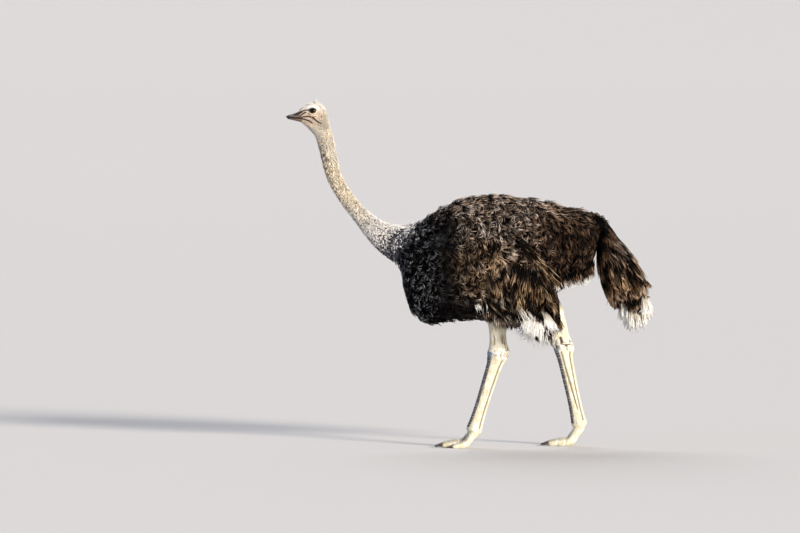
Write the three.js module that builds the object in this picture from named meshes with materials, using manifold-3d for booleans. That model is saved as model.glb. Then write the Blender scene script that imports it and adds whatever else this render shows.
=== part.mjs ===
// A life-size walking ostrich, in millimetres. +Z is up, the bird faces -X and its left side is -Y.
// The trunk, neck and head are one lofted form, parted into lengths.
// The wings, tail and legs are lofts of their own.
import * as THREE from "three";
import { mergeVertices } from "three/addons/utils/BufferGeometryUtils.js";
import Module from "manifold-3d";

const wasm = await Module();
wasm.setup();

// ---- Driving sizes
const TARSUS_LENGTH = 448; // ankle to toe joint
const ANKLE_HEIGHT_NEAR = 517; // the left leg, set forward
const ANKLE_HEIGHT_FAR = 552; // the right leg, about to push off
const LEG_SPREAD = 82; // each foot's distance from the middle plane
const EYE_RADIUS = 22;
const EYE = new THREE.Vector3(-846, 22, 1817);
const NOSTRIL = new THREE.Vector3(-938, 14.5, 1800);
const EAR = new THREE.Vector3(-799, 38, 1782);
const CROWN = new THREE.Vector3(-828, 0, 1850);
const JOINT_GAP = 0.35; // clearance between neighbouring solids
const WING_CLEARANCE = 1; // round a wing, whose bowed facets stray further
const BIG_TOE = { length: 168, wide: 31, pad: 25 };
const SMALL_TOE = { length: 118, wide: 19, pad: 19, splay: 24, outset: 25 };
const CLAW_LENGTH = 56;
const SOLE_DROP = 66; // how far ahead of its joint a toe reaches the ground
const DOME_STEPS = [0.5, 0.87]; // how far along a domed end its rings lie

// ---- Colours
const finish = (color, roughness) => new THREE.MeshStandardMaterial({ color, roughness, metalness: 0 });
const DARK_PLUMAGE = finish(0x2e251f, 0.9);
const WHITE_PLUMES = finish(0xe9e4d8, 0.85);
const DOWN = finish(0xd9ccb2, 0.85);
const LEG_SKIN = finish(0xd9c8a4, 0.65);
const BILL_HORN = finish(0xb39a80, 0.45);
const CLAW_HORN = finish(0x4c4034, 0.5);
const EYE_GLOSS = finish(0x120b08, 0.08);

// ---- Shaping helpers

/** A cross-section: its centre, its plane's lean from upright in degrees, its half height and half width. */
const section = (x, z, lean, high, wide, more = {}) => ({ x, z, lean, high, wide, y: 0, bow: 0, ...more });

/** Smooth values through the sections' fields, with `steps` rings from each section to the next. */
function spread(sections, steps) {
  const last = sections.length - 1;
  const at = (i) => sections[Math.min(last, Math.max(0, i))];
  const rings = [];
  for (let n = 0; n <= last * steps; n++) {
    const i = Math.min(last - 1, Math.floor(n / steps));
    const t = n / steps - i;
    const ring = {};
    for (const key of Object.keys(sections[0])) {
      const [a, b, c, d] = [at(i - 1)[key], at(i)[key], at(i + 1)[key], at(i + 2)[key]];
      ring[key] =
        b + 0.5 * t * (c - a + t * (2 * a - 5 * b + 4 * c - d + t * (3 * (b - c) + d - a)));
    }
    rings.push(ring);
  }
  return rings;
}

/** The axis of a section along its height, and the normal of its plane. */
function axes(ring) {
  const lean = THREE.MathUtils.degToRad(ring.lean);
  const up = new THREE.Vector3(Math.sin(lean), 0, Math.cos(lean));
  const normal = new THREE.Vector3(Math.cos(lean), 0, -Math.sin(lean));
  return { up, normal };
}

/** A section's outline as points across and up, swollen by `grow` with its sides kept parallel. */
function outline({ high, wide, bow }, sides, scale, grow, roughAt) {
  const bare = Array.from({ length: sides }, (_, n) => {
    const angle = (2 * Math.PI * n) / sides;
    const [sin, cos] = [Math.sin(angle) * scale, Math.cos(angle) * scale];
    return new THREE.Vector2((wide + roughAt(n)) * cos - bow * sin * sin, (high + roughAt(n)) * sin);
  });
  const outward = (a, b) => new THREE.Vector2(b.y - a.y, a.x - b.x).normalize();
  return bare.map((point, n) => {
    const before = outward(bare.at(n - 1), point);
    const after = outward(point, bare[(n + 1) % sides]);
    const mitre = grow * scale / (1 + before.dot(after));
    return point.clone().addScaledVector(before.add(after), mitre);
  });
}

/** The normal of a ring's plane, turned towards another ring. */
function heading(ring, other) {
  const { normal } = axes(ring);
  const way = new THREE.Vector3(other.x - ring.x, 0, other.z - ring.z);
  return normal.multiplyScalar(way.dot(normal) < 0 ? -1 : 1);
}

/** The same rings with the first one standing clear of the piece before it. */
function cleared([first, ...rest]) {
  const step = heading(first, rest[0]).multiplyScalar(JOINT_GAP);
  return [{ ...first, x: first.x + step.x, z: first.z + step.z }, ...rest];
}

/** A closed loft through rings. Each end is flat, or a dome of that length. `grow` swells it all round. */
function loft(rings, { sides = 20, domes = [0, 0], grow = 0, shag = 0, floor = false } = {}) {
  const stations = [];
  const last = rings.length - 1;
  const startWay = heading(rings[0], rings[1]).negate();
  const endWay = heading(rings[last], rings[last - 1]).negate();
  const put = (ring, way, push, scale) => {
    stations.push({ ring, shift: way.clone().multiplyScalar(push), scale });
  };
  const [startDome, endDome] = domes.map((d) => d + grow);
  const dome = (ring, way, length, steps) => {
    for (const s of steps) put(ring, way, length * s, Math.sqrt(1 - s * s));
  };
  if (domes[0]) dome(rings[0], startWay, startDome, DOME_STEPS.toReversed());
  rings.forEach((ring, i) => {
    const flatEnd = (i === 0 && !domes[0]) || (i === last && !domes[1]);
    put(ring, i === 0 ? startWay : endWay, flatEnd ? grow : 0, 1);
  });
  if (domes[1]) dome(rings[last], endWay, endDome, DOME_STEPS);
  const points = [];
  stations.forEach(({ ring, shift, scale }, k) => {
    const { up } = axes(ring);
    const roughAt = (n) => shag * ((n + k) % 2 ? 1 : -0.4);
    for (const edge of outline(ring, sides, scale, grow, roughAt)) {
      const p = new THREE.Vector3(ring.x, ring.y + edge.x, ring.z).add(shift).addScaledVector(up, edge.y);
      if (floor) p.z = Math.max(p.z, -grow);
      points.push(p);
    }
  });
  const rows = stations.length;
  const capCentre = (row, way, push) => {
    const { ring } = stations[row];
    const p = new THREE.Vector3(ring.x, ring.y, ring.z).addScaledVector(way, push);
    if (floor) p.z = Math.max(p.z, -grow);
    return points.push(p) - 1;
  };
  const first = capCentre(0, startWay, domes[0] ? startDome : grow);
  const final = capCentre(rows - 1, endWay, domes[1] ? endDome : grow);
  const index = [];
  for (let k = 0; k < rows - 1; k++)
    for (let n = 0; n < sides; n++) {
      const [a, b] = [k * sides + n, k * sides + ((n + 1) % sides)];
      index.push(a, a + sides, b, b, a + sides, b + sides);
    }
  for (let n = 0; n < sides; n++) {
    const m = (n + 1) % sides;
    index.push(first, n, m);
    index.push(final, (rows - 1) * sides + m, (rows - 1) * sides + n);
  }
  return closed(points, index);
}

/** Turns every triangle of an index over. */
function turnInsideOut(index) {
  for (let i = 0; i < index.length; i += 3) [index[i], index[i + 1]] = [index[i + 1], index[i]];
}

/** A geometry from points and triangles, with its faces turned outwards. */
function closed(points, index) {
  let volume = 0;
  for (let i = 0; i < index.length; i += 3) {
    const [a, b, c] = [points[index[i]], points[index[i + 1]], points[index[i + 2]]];
    volume += a.dot(new THREE.Vector3().crossVectors(b, c));
  }
  if (volume < 0) turnInsideOut(index);
  const geometry = new THREE.BufferGeometry();
  geometry.setFromPoints(points);
  geometry.setIndex(index);
  return geometry;
}

/** A three.js geometry as a manifold-3d solid. */
function solid(geometry) {
  const bare = geometry.clone();
  bare.deleteAttribute("normal");
  bare.deleteAttribute("uv");
  const merged = mergeVertices(bare, 1e-3);
  const vertProperties = merged.attributes.position.array;
  const triVerts = new Uint32Array(merged.index.array);
  return new wasm.Manifold(new wasm.Mesh({ numProp: 3, vertProperties, triVerts }));
}

/** A ball or, with a stretch, an egg, at a place. */
function ball(radius, centre, { stretch = [1, 1, 1], tilt = 0, detail = 12 } = {}) {
  const g = new THREE.SphereGeometry(radius, detail, Math.round(detail * 0.65));
  g.scale(...stretch);
  g.rotateY(THREE.MathUtils.degToRad(tilt));
  g.translate(centre.x, centre.y, centre.z);
  return solid(g);
}

/** The same shape on the other side of the middle plane. */
function mirrored(geometry) {
  const g = geometry.clone().scale(1, -1, 1);
  turnInsideOut(g.index.array);
  return g;
}

const onSide = (geometry, side) => (side === "left" ? mirrored(geometry) : geometry);
const SIDES = ["left", "right"];
const handOf = { left: -1, right: 1 };
const onHand = ({ x, y, z }, side) => new THREE.Vector3(x, handOf[side] * y, z);
const bird = new THREE.Group();

/** The largest body of a solid, without the slivers that a cut leaves. */
const largest = (made) => made.decompose().sort((a, b) => b.volume() - a.volume())[0];

/** Adds a solid to the bird as a named mesh. */
function add(name, made, material) {
  const { vertProperties, triVerts, numProp } = largest(made).getMesh();
  const geometry = new THREE.BufferGeometry();
  const flat = Float32Array.from({ length: (vertProperties.length / numProp) * 3 }, (_, i) =>
    vertProperties[Math.floor(i / 3) * numProp + (i % 3)]);
  geometry.setAttribute("position", new THREE.BufferAttribute(flat, 3));
  geometry.setIndex(new THREE.BufferAttribute(new Uint32Array(triVerts), 1));
  geometry.computeVertexNormals();
  const mesh = new THREE.Mesh(geometry, material);
  mesh.name = name;
  bird.add(mesh);
}

// ---- Head, neck and trunk: sections from the bill's root to the rump

const HEAD = [
  section(-923, 1783, -14, 26, 24),
  section(-907, 1788, -9, 41, 30),
  section(-883, 1790, -2, 59, 37),
  section(-855, 1786, 3, 75, 42),
  section(-826, 1774, 9, 85, 41),
  section(-805, 1752, 15, 87, 37),
  section(-794, 1719, 22, 74, 34),
];
const NECK = [
  section(-784, 1681, 33, 58, 35),
  section(-771, 1631, 54, 46, 36),
  section(-758, 1566, 74, 40, 35),
  section(-729, 1455, 72, 38, 34),
  section(-663, 1342, 54, 38, 35),
  section(-576, 1237, 39, 45, 42),
  section(-486, 1150, 25, 71, 62),
  section(-373, 1086, 7, 112, 98),
];
const TRUNK = [
  section(-331, 1035, 8, 179, 138),
  section(-275, 992, 9, 266, 178),
  section(-173, 983, 6, 330, 212),
  section(-19, 1018, 4, 346, 240),
  section(159, 1027, 1, 343, 250),
  section(327, 1044, 0, 307, 242),
  section(489, 1079, 0, 237, 212),
  section(618, 1097, 0, 196, 165),
  section(684, 1152, 3, 122, 100),
  section(706, 1177, 8, 60, 55),
];
const RING_STEPS = 2;
const midline = spread([...HEAD, ...NECK, ...TRUNK], RING_STEPS);
const neckStart = HEAD.length * RING_STEPS;
const trunkStart = (HEAD.length + NECK.length) * RING_STEPS - 1;
const CUTS = {
  head: 0,
  neck_upper: neckStart,
  neck_middle: neckStart + 6,
  neck_lower: neckStart + 11,
  trunk: trunkStart,
};

/** One length of the midline form, from its own cut to the next. */
function midlinePiece(name, options) {
  const names = Object.keys(CUTS);
  const next = names[names.indexOf(name) + 1];
  const rings = midline.slice(CUTS[name], next ? CUTS[next] + 1 : undefined);
  return loft(CUTS[name] > 0 ? cleared(rings) : rings, options);
}

// ---- Wings, folded on the flank with their plumes hanging

const WING = [
  section(-226, 1104, 6, 62, 14, { y: 188, bow: 8 }),
  section(-170, 1091, 5, 125, 24, { y: 218, bow: 30 }),
  section(-78, 1072, 5, 187, 30, { y: 248, bow: 55 }),
  section(30, 1040, 7, 231, 32, { y: 268, bow: 72 }),
  section(146, 988, 10, 253, 32, { y: 276, bow: 76 }),
  section(246, 915, 16, 250, 30, { y: 270, bow: 62 }),
  section(319, 832, 24, 219, 27, { y: 258, bow: 42 }),
  section(362, 734, 35, 172, 23, { y: 244, bow: 22 }),
  section(394, 645, 50, 126, 18, { y: 230, bow: 8 }),
];
const wingRings = spread(WING, 2);
const WING_OPTIONS = { sides: 11, domes: [26, 42] };

/** A hanging plume: a thin blade from its root to its tip, in the plane of travel. */
function plume(root, tip, { broad = 16, thick = 5, sag = 0.08 } = {}) {
  const steps = 2;
  const rings = [];
  const run = new THREE.Vector3().subVectors(tip, root);
  const lean = THREE.MathUtils.radToDeg(Math.atan2(-run.z, run.x));
  for (let n = 0; n <= steps; n++) {
    const t = n / steps;
    const p = root.clone().addScaledVector(run, t);
    p.z += run.length() * sag * Math.sin(Math.PI * t);
    rings.push(section(p.x, p.z, lean, broad * (1 - 0.55 * t * t), thick * (1 - 0.5 * t), { y: p.y }));
  }
  return solid(loft(rings, { sides: 5, domes: [0, broad] }));
}

/** Plumes whose tips follow a rim, fanned from a root line. */
function plumes(count, rootAt, tipAt, options) {
  return Array.from({ length: count }, (_, n) => {
    const t = n / (count - 1);
    return plume(rootAt(t), tipAt(t), options);
  });
}

const joined = (first, rest) => rest.reduce((sum, next) => sum.add(next), first);
const mix = (a, b, t) => a + (b - a) * t;

const PRIMARIES = 6;
const QUILL_PAD = { radius: 60, x: 396, y: 222, z: 628, stretch: [1.35, 0.28, 0.75], tilt: 30, detail: 10 };
const primaryRoot = (t) => new THREE.Vector3(mix(345, 455, t), 224 + 5 * Math.cos(9 * t), mix(690, 705, t));
const primaryDrop = (t) => 72 * Math.sin(Math.PI * mix(0.12, 0.88, t));
const primaryTip = (t) =>
  new THREE.Vector3(mix(292, 486, t), 218 + 9 * Math.cos(7 * t), 634 - primaryDrop(t));

// ---- Tail: a drooping fan of plumes behind the rump

const TAIL = [
  section(690, 1196, 15, 60, 66),
  section(712, 1138, 22, 78, 84),
  section(734, 1066, 32, 97, 98),
  section(767, 999, 38, 115, 108),
  section(805, 933, 45, 125, 114),
  section(840, 869, 48, 127, 116),
  section(868, 812, 53, 121, 112),
  section(888, 762, 58, 106, 102),
  section(899, 722, 62, 86, 88),
];
const TAIL_WHITE_RING = 14;
const tailRings = spread(TAIL, 2);
const TAIL_PLUMES = 7;
const tailRoot = (t) => new THREE.Vector3(mix(800, 935, t), 62 * Math.sin(11 * t), mix(742, 812, t));
const tailDrop = (t) => 92 * Math.sin(Math.PI * mix(0.1, 0.84, t));
const tailTip = (t) =>
  new THREE.Vector3(mix(776, 976.9, t), 78 * Math.sin(11 * t), mix(722, 708, t) - tailDrop(t));

// ---- Legs: the left is set forward, the right trails

/** Sections of a leg from inside the trunk to the toe joint. `sway` bows the drumstick back or forward. */
function legSections({ ankleX, ankleZ, thighX, toeX, toeZ, sway, side }) {
  const y = (t) => handOf[side] * mix(126, LEG_SPREAD, t);
  const leanOf = THREE.MathUtils.radToDeg(Math.atan2(ankleX - toeX, ankleZ - toeZ)) - 90;
  const thigh = (t, high, wide) => {
    const [x, z] = [mix(thighX, ankleX, t) + sway * Math.sin(Math.PI * t), mix(ankleZ + 300, ankleZ, t)];
    return section(x, z, -88, high, wide, { y: y(0.7 * t) });
  };
  const shin = (t, high, wide, back = 0) => {
    const [x, z] = [mix(ankleX, toeX, t) + back, mix(ankleZ, toeZ, t)];
    return section(x, z, t < 0.12 ? -90 : leanOf, high, wide, { y: y(0.7 + 0.3 * t) });
  };
  return [
    thigh(0, 92, 60),
    thigh(0.3, 68, 46),
    thigh(0.58, 48, 33),
    thigh(0.8, 46, 30),
    shin(-0.02, 56, 34),
    shin(0.07, 53, 33, 3),
    shin(0.17, 42, 28, 1),
    shin(0.4, 37, 24),
    shin(0.66, 34.5, 23),
    shin(0.86, 37, 27),
    shin(0.98, 42, 33),
  ];
}

const LEGS = {
  left: { ankleX: 156, ankleZ: ANKLE_HEIGHT_NEAR, thighX: 146, toeX: 22, toeZ: 78, sway: 0, side: "left" },
  right: { ankleX: 501, ankleZ: ANKLE_HEIGHT_FAR, thighX: 366, toeX: 596, toeZ: 116, sway: 30, side: "right" },
};
for (const leg of Object.values(LEGS)) {
  const drop = Math.sqrt(TARSUS_LENGTH ** 2 - (leg.toeX - leg.ankleX) ** 2);
  leg.toeZ = leg.ankleZ - drop;
}
const THIGH_RINGS = 8; // rings of the leg above the cut between drumstick and tarsus

/** A toe from its joint down to the ground and forward on its pad, its sole flat. */
function toeSections(jointX, jointZ, { length, wide, pad }) {
  const stops = [-0.06, 0.1, 0.25, 0.4, 0.58, 0.78, 0.94];
  const heightAt = (ahead) => {
    const fall = THREE.MathUtils.smoothstep(ahead, -SOLE_DROP * 0.35, SOLE_DROP);
    return mix(jointZ, pad - 3, fall) - Math.max(0, ahead / length - 0.5) * 0.6 * pad;
  };
  return stops.map((t) => {
    const ahead = t * length;
    const slope = (heightAt(ahead - 4) - heightAt(ahead + 4)) / 8;
    const lean = THREE.MathUtils.radToDeg(Math.atan(slope)) * 0.8;
    const slim = 1 - 0.32 * THREE.MathUtils.smoothstep(t, 0.55, 1);
    return section(jointX - ahead, heightAt(ahead), -lean, pad * slim * 1.08, wide * slim);
  });
}

/** The nail on the big toe's end. */
function clawSections(tipX) {
  return [0, 0.35, 0.7, 1].map((t) =>
    section(tipX + CLAW_LENGTH * (0.3 - t), 21 - 12 * t, 0, mix(14, 5, t), mix(15.5, 6, t)));
}

/** Turns a toe outwards about its joint and shifts it to its foot. */
function placed(geometry, side, jointX, splay = 0, outset = 0) {
  const g = geometry.clone();
  g.translate(-jointX, 0, 0);
  g.rotateZ(THREE.MathUtils.degToRad(-handOf[side] * splay));
  g.translate(jointX, handOf[side] * (LEG_SPREAD + outset), 0);
  return g;
}

// ---- Build

const TRUNK_OPTIONS = { sides: 18, domes: [0, 16], shag: 6 };
const headOptions = { sides: 18 };
const crownTuft = plume(CROWN, CROWN.clone().add(new THREE.Vector3(6, 0, 21)), { broad: 8, thick: 6 });
let head = solid(midlinePiece("head", headOptions)).add(crownTuft);
for (const side of SIDES) {
  head = head.subtract(ball(EYE_RADIUS + JOINT_GAP, onHand(EYE, side)));
  head = head.subtract(ball(7, onHand(EAR, side), { stretch: [0.7, 1, 1.3], detail: 8 }));
}
add("head", head, DOWN);
for (const side of SIDES) add(`eye_${side}`, ball(EYE_RADIUS, onHand(EYE, side)), EYE_GLOSS);

// The bill's halves meet along the gape.
const BILL_UPPER = [
  section(-925, 1792, -14, 16.5, 27),
  section(-941, 1790, -15, 12.5, 24.5),
  section(-958, 1788, -15, 9.2, 21.5),
  section(-974, 1785.5, -13, 6.4, 17),
];
const BILL_LOWER = [
  section(-922, 1766, -11, 8.6, 26),
  section(-940, 1769.5, -10, 7.4, 23.5),
  section(-957, 1772, -9, 6, 20),
  section(-973, 1774.3, -8, 4.3, 15.5),
];
const nostrils = SIDES.map((side) =>
  ball(4.2, onHand(NOSTRIL, side), { stretch: [2, 1, 0.8], tilt: 14, detail: 8 }));
let billUpper = solid(loft(spread(BILL_UPPER, 1), { sides: 14, domes: [0, 15] }));
for (const hole of nostrils) billUpper = billUpper.subtract(hole);
const billLower = solid(loft(spread(BILL_LOWER, 1), { sides: 14, domes: [0, 12] }));
const billUpperGrown = solid(loft(spread(BILL_UPPER, 1), { sides: 14, domes: [0, 15], grow: JOINT_GAP }));
const headGrown = solid(midlinePiece("head", { ...headOptions, grow: JOINT_GAP }));
add("bill_upper", billUpper.subtract(headGrown), BILL_HORN);
add("bill_lower", billLower.subtract(billUpperGrown).subtract(headGrown), BILL_HORN);

for (const name of ["neck_upper", "neck_middle", "neck_lower"])
  add(name, solid(midlinePiece(name, { sides: name === "neck_lower" ? 20 : 16 })), DOWN);

const wingShape = loft(wingRings, WING_OPTIONS);
const wingGrown = loft(wingRings, { ...WING_OPTIONS, grow: WING_CLEARANCE });
const tailShape = { sides: 12, domes: [34, 30], shag: 4 };
const tailGrown = solid(loft(tailRings, { ...tailShape, grow: JOINT_GAP }));
let trunk = solid(midlinePiece("trunk", TRUNK_OPTIONS));
const trunkGrown = solid(midlinePiece("trunk", { ...TRUNK_OPTIONS, grow: JOINT_GAP }));
for (const side of SIDES) trunk = trunk.subtract(solid(onSide(wingGrown, side)));
add("trunk", trunk.subtract(tailGrown), DARK_PLUMAGE);

for (const side of SIDES) {
  add(`wing_${side}`, solid(onSide(wingShape, side)), DARK_PLUMAGE);
  const rootAt = (t) => onHand(primaryRoot(t), side);
  const tipAt = (t) => onHand(primaryTip(t), side);
  const quills = plumes(PRIMARIES, rootAt, tipAt, { broad: 21, thick: 8 });
  const fan = joined(ball(QUILL_PAD.radius, onHand(QUILL_PAD, side), QUILL_PAD), quills);
  add(`wing_plumes_${side}`, fan.subtract(solid(onSide(wingGrown, side))), WHITE_PLUMES);
}

const tailBodyRings = tailRings.slice(0, TAIL_WHITE_RING + 1);
const tailBodyShape = { ...tailShape, domes: [34, 0] };
const tailBodyGrown = solid(loft(tailBodyRings, { ...tailBodyShape, grow: JOINT_GAP }));
const tailEnd = solid(loft(cleared(tailRings.slice(TAIL_WHITE_RING)), { ...tailShape, domes: [0, 30] }));
const tailTips = plumes(TAIL_PLUMES, tailRoot, tailTip, { broad: 24, thick: 14, sag: 0.02 });
add("tail", solid(loft(tailBodyRings, tailBodyShape)), DARK_PLUMAGE);
add("tail_plumes", joined(tailEnd, tailTips).subtract(tailBodyGrown), WHITE_PLUMES);

for (const side of SIDES) {
  const leg = LEGS[side];
  const legRings = spread(legSections(leg), 2);
  const legOptions = { sides: 10, domes: [0, 30], floor: true };
  const upper = solid(loft(legRings.slice(0, THIGH_RINGS + 1), { ...legOptions, domes: [0, 0] }));
  add(`thigh_${side}`, upper.subtract(trunkGrown), LEG_SKIN);
  const lowerRings = cleared(legRings.slice(THIGH_RINGS));
  add(`tarsus_${side}`, solid(loft(lowerRings, legOptions)), LEG_SKIN);
  const tarsusGrown = solid(loft(lowerRings, { ...legOptions, grow: JOINT_GAP }));
  const toeOptions = { sides: 10, domes: [16, 14], floor: true };
  const bigRings = toeSections(leg.toeX, leg.toeZ, BIG_TOE);
  const big = solid(placed(loft(bigRings, toeOptions), side, leg.toeX));
  const bigGrown = solid(placed(loft(bigRings, { ...toeOptions, grow: JOINT_GAP }), side, leg.toeX));
  const smallRings = toeSections(leg.toeX, leg.toeZ, SMALL_TOE);
  const smallPlace = [side, leg.toeX, SMALL_TOE.splay, SMALL_TOE.outset];
  const small = solid(placed(loft(smallRings, toeOptions), ...smallPlace));
  const clawRings = clawSections(leg.toeX - BIG_TOE.length);
  const clawOptions = { sides: 8, domes: [0, 4], floor: true };
  const claw = loft(clawRings, clawOptions);
  const clawGrown = solid(placed(loft(clawRings, { ...clawOptions, grow: JOINT_GAP }), side, leg.toeX));
  add(`toe_big_${side}`, big.subtract(tarsusGrown).subtract(clawGrown), LEG_SKIN);
  add(`toe_small_${side}`, small.subtract(tarsusGrown).subtract(bigGrown), LEG_SKIN);
  add(`claw_${side}`, solid(placed(claw, side, leg.toeX)), CLAW_HORN);
}

export default bird;
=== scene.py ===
"""A walking ostrich, life size: one skin with its eyes, bill and claws, under a coat of solid plumes.

Lengths in the tables are millimetres and become metres when a mesh is made. The bird faces -X,
its left side is -Y and +Z is up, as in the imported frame.
"""

from __future__ import annotations

import logging
import math
import sys
from dataclasses import dataclass, replace
from enum import Enum
from typing import Callable, Sequence

import bmesh
import bpy
import numpy as np
from mathutils import Matrix, Vector


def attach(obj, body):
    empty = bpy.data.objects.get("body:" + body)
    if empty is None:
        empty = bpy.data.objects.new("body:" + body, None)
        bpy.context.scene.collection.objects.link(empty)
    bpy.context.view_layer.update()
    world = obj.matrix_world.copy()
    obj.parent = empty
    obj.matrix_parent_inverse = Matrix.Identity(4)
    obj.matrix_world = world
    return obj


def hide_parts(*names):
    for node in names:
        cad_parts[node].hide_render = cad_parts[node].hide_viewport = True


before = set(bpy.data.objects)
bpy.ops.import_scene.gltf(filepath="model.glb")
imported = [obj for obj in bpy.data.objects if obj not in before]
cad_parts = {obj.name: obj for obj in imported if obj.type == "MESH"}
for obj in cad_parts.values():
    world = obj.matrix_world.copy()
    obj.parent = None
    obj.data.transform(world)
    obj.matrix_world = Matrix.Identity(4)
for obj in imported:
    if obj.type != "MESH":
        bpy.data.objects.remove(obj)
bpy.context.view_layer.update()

log = logging.getLogger("ostrich")
MM = 0.001
BODY = "root"
Array = np.ndarray
Piece = bpy.types.Object
Material = bpy.types.Material
Socket = bpy.types.NodeSocket


class Hand(Enum):
    """A side of the bird, as the sign of its Y."""

    LEFT = -1
    RIGHT = 1

    @property
    def side(self) -> str:
        """The side's name in the names of pieces."""
        return self.name.lower()


# -------- forms


@dataclass(frozen=True)
class Section:
    """An oval across a form: its centre, its plane's lean from upright in degrees and its half sizes."""

    x: float
    z: float
    lean: float
    high: float
    wide: float
    y: float = 0.0
    bow: float = 0.0


class Form:
    """A smooth tube through sections, which gives the point at any place along and round it."""

    FIELDS = ("x", "y", "z", "lean", "high", "wide", "bow")

    def __init__(self, sections: Sequence[Section], hand: int = 1, hinge: float = 0.0) -> None:
        """Keeps the sections as a table.

        Args:
            sections: The ovals in order.
            hand: 1, or -1 to mirror the form to the left side.
            hinge: How far up, from -1 to 1, the ovals are widest.
        """
        self.table = np.array([[getattr(s, k) for k in self.FIELDS] for s in sections], float)
        self.hand, self.hinge = hand, hinge
        self.last = len(sections) - 1

    def slimmed(
        self, high: Sequence[float] | float, wide: Sequence[float] | float, inward: float = 0.0
    ) -> Form:
        """The same form with its ovals made smaller.

        Args:
            high: How much comes off the half height, one value or one for each section.
            wide: How much comes off the half width.
            inward: How far the centres move to the middle plane.

        Returns:
            The slimmer form.
        """
        slim = Form([], self.hand, self.hinge)
        slim.table, slim.last = self.table.copy(), self.last
        slim.table[:, 4] = np.maximum(slim.table[:, 4] - high, 7)
        slim.table[:, 5] = np.maximum(slim.table[:, 5] - wide, 7)
        slim.table[:, 1] -= inward
        return slim

    def values(self, s: Array) -> Array:
        """Reads the table, which runs straight on beyond its ends.

        Args:
            s: Places along the form.

        Returns:
            The sections' fields at each place.
        """
        t = self.table
        i = np.clip(np.floor(s).astype(int), 0, self.last - 1)
        part = (s - i)[..., None]
        f = np.clip(part, 0, 1)
        a, b, c, d = (t[np.clip(i + k, 0, self.last)] for k in (-1, 0, 1, 2))
        inside = b + 0.5 * f * (c - a + f * (2 * a - 5 * b + 4 * c - d + f * (3 * (b - c) + d - a)))
        beyond = (part - f) * (c - b)
        beyond[..., 3:] = 0
        return inside + beyond

    def point(self, s: Array, th: Array, grow: Array | float = 0.0, scale: Array | float = 1.0) -> Array:
        """Points on the form.

        Args:
            s: Places along it, counted in sections.
            th: Angles round it, from the outer side over the top.
            grow: How far outside the surface they are.
            scale: The share of the oval's size.

        Returns:
            The points in millimetres.
        """
        x, y, z, lean, high, wide, bow = np.moveaxis(self.values(s), -1, 0)
        lean = np.radians(lean)
        sin, cos = np.sin(th), np.cos(th)
        sin = self.hinge + (1 - self.hinge * np.sign(sin)) * sin
        across = np.maximum(wide + grow, 1) * cos * scale - bow * sin * sin * scale
        up = np.maximum(high + grow, 1) * sin * scale
        return np.stack([x + up * np.sin(lean), self.hand * (y + across), z + up * np.cos(lean)], -1)

    def side(
        self, x: float, z: float, span: tuple[float, float] = (0.0, 7.0), outer: int = 1
    ) -> tuple[float, float, float]:
        """Finds what is seen at x and z.

        Args:
            x: Where it is from front to back.
            z: How high it is.
            span: The part of the form to look in.
            outer: 1 for the form's outer side, -1 for its inner one.

        Returns:
            The point.
        """
        s = np.linspace(*span, 1400)
        cx, cy, cz, lean, high, wide, _ = self.values(s).T
        lean = np.radians(lean)
        off = np.abs((x - cx) * np.cos(lean) - (z - cz) * np.sin(lean))
        up = (x - cx) * np.sin(lean) + (z - cz) * np.cos(lean)
        best = np.argmin(off + 1e3 * (np.abs(up) > high * 1.02))
        reach = max(0.0, 1 - (up[best] / high[best]) ** 2)
        return x, float(self.hand * (cy[best] + outer * wide[best] * math.sqrt(reach))), z

    def locate(self, co: Array) -> tuple[Array, Array]:
        """Finds where points lie on the form.

        Args:
            co: The points.

        Returns:
            The nearest place along the form and the angle round it.
        """
        s = np.linspace(0, self.last, 400)
        centres = self.point(s, 0 * s, 0, 0)
        parts = np.array_split(co, 40)
        near = np.concatenate([((part[:, None] - centres[None]) ** 2).sum(-1).argmin(1) for part in parts])
        lean = np.radians(self.values(s[near])[:, 3])
        off = co - centres[near]
        up = off[:, 0] * np.sin(lean) + off[:, 2] * np.cos(lean)
        return s[near], np.arctan2(up, self.hand * off[:, 1])

    def frame(self, s: Array, th: Array, grow: Array | float = 0.0) -> tuple[Array, Array, Array, Array]:
        """The form's surface.

        Args:
            s: Places along the form.
            th: Angles round it.
            grow: How far outside the surface.

        Returns:
            Points, slopes along and round the form, and outward normals.
        """
        e = 0.01
        p = self.point(s, th, grow)
        along = (self.point(s + e, th, grow) - self.point(s - e, th, grow)) / (2 * e)
        turn = (self.point(s, th + e, grow) - self.point(s, th - e, grow)) / (2 * e)
        normal = unit(np.cross(turn, along)) * self.hand
        return p, along, turn, normal

    def scatter(
        self,
        count: int,
        span: tuple[float, float],
        arc: tuple[float, float],
        density: Callable[[Array, Array, Array, Array], Array],
        rng: np.random.Generator,
    ) -> tuple[Array, Array]:
        """Roots spread over part of the form, as many to each patch as its area and the density ask for.

        Args:
            count: How many roots.
            span: The first and last place along the form.
            arc: The first and last angle round it, in degrees.
            density: Gives a weight from points, places, angles and normals.
            rng: The source of chance.

        Returns:
            Places along the form and angles round it.
        """
        rows, columns = 150, 120
        ds, dt = (span[1] - span[0]) / rows, math.radians(arc[1] - arc[0]) / columns
        s = span[0] + ds * (np.arange(rows) + 0.5)
        th = math.radians(arc[0]) + dt * (np.arange(columns) + 0.5)
        s, th = (g.ravel() for g in np.meshgrid(s, th, indexing="ij"))
        p, along, turn, normal = self.frame(s, th)
        weight = np.linalg.norm(np.cross(along, turn), axis=-1) * np.clip(density(p, s, th, normal), 0, None)
        total = np.cumsum(weight)
        picks = (np.arange(count) + rng.random(count)) / count * total[-1]
        cell = np.minimum(np.searchsorted(total, picks), len(total) - 1)
        return s[cell] + ds * (rng.random(count) - 0.5), th[cell] + dt * (rng.random(count) - 0.5)


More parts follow.
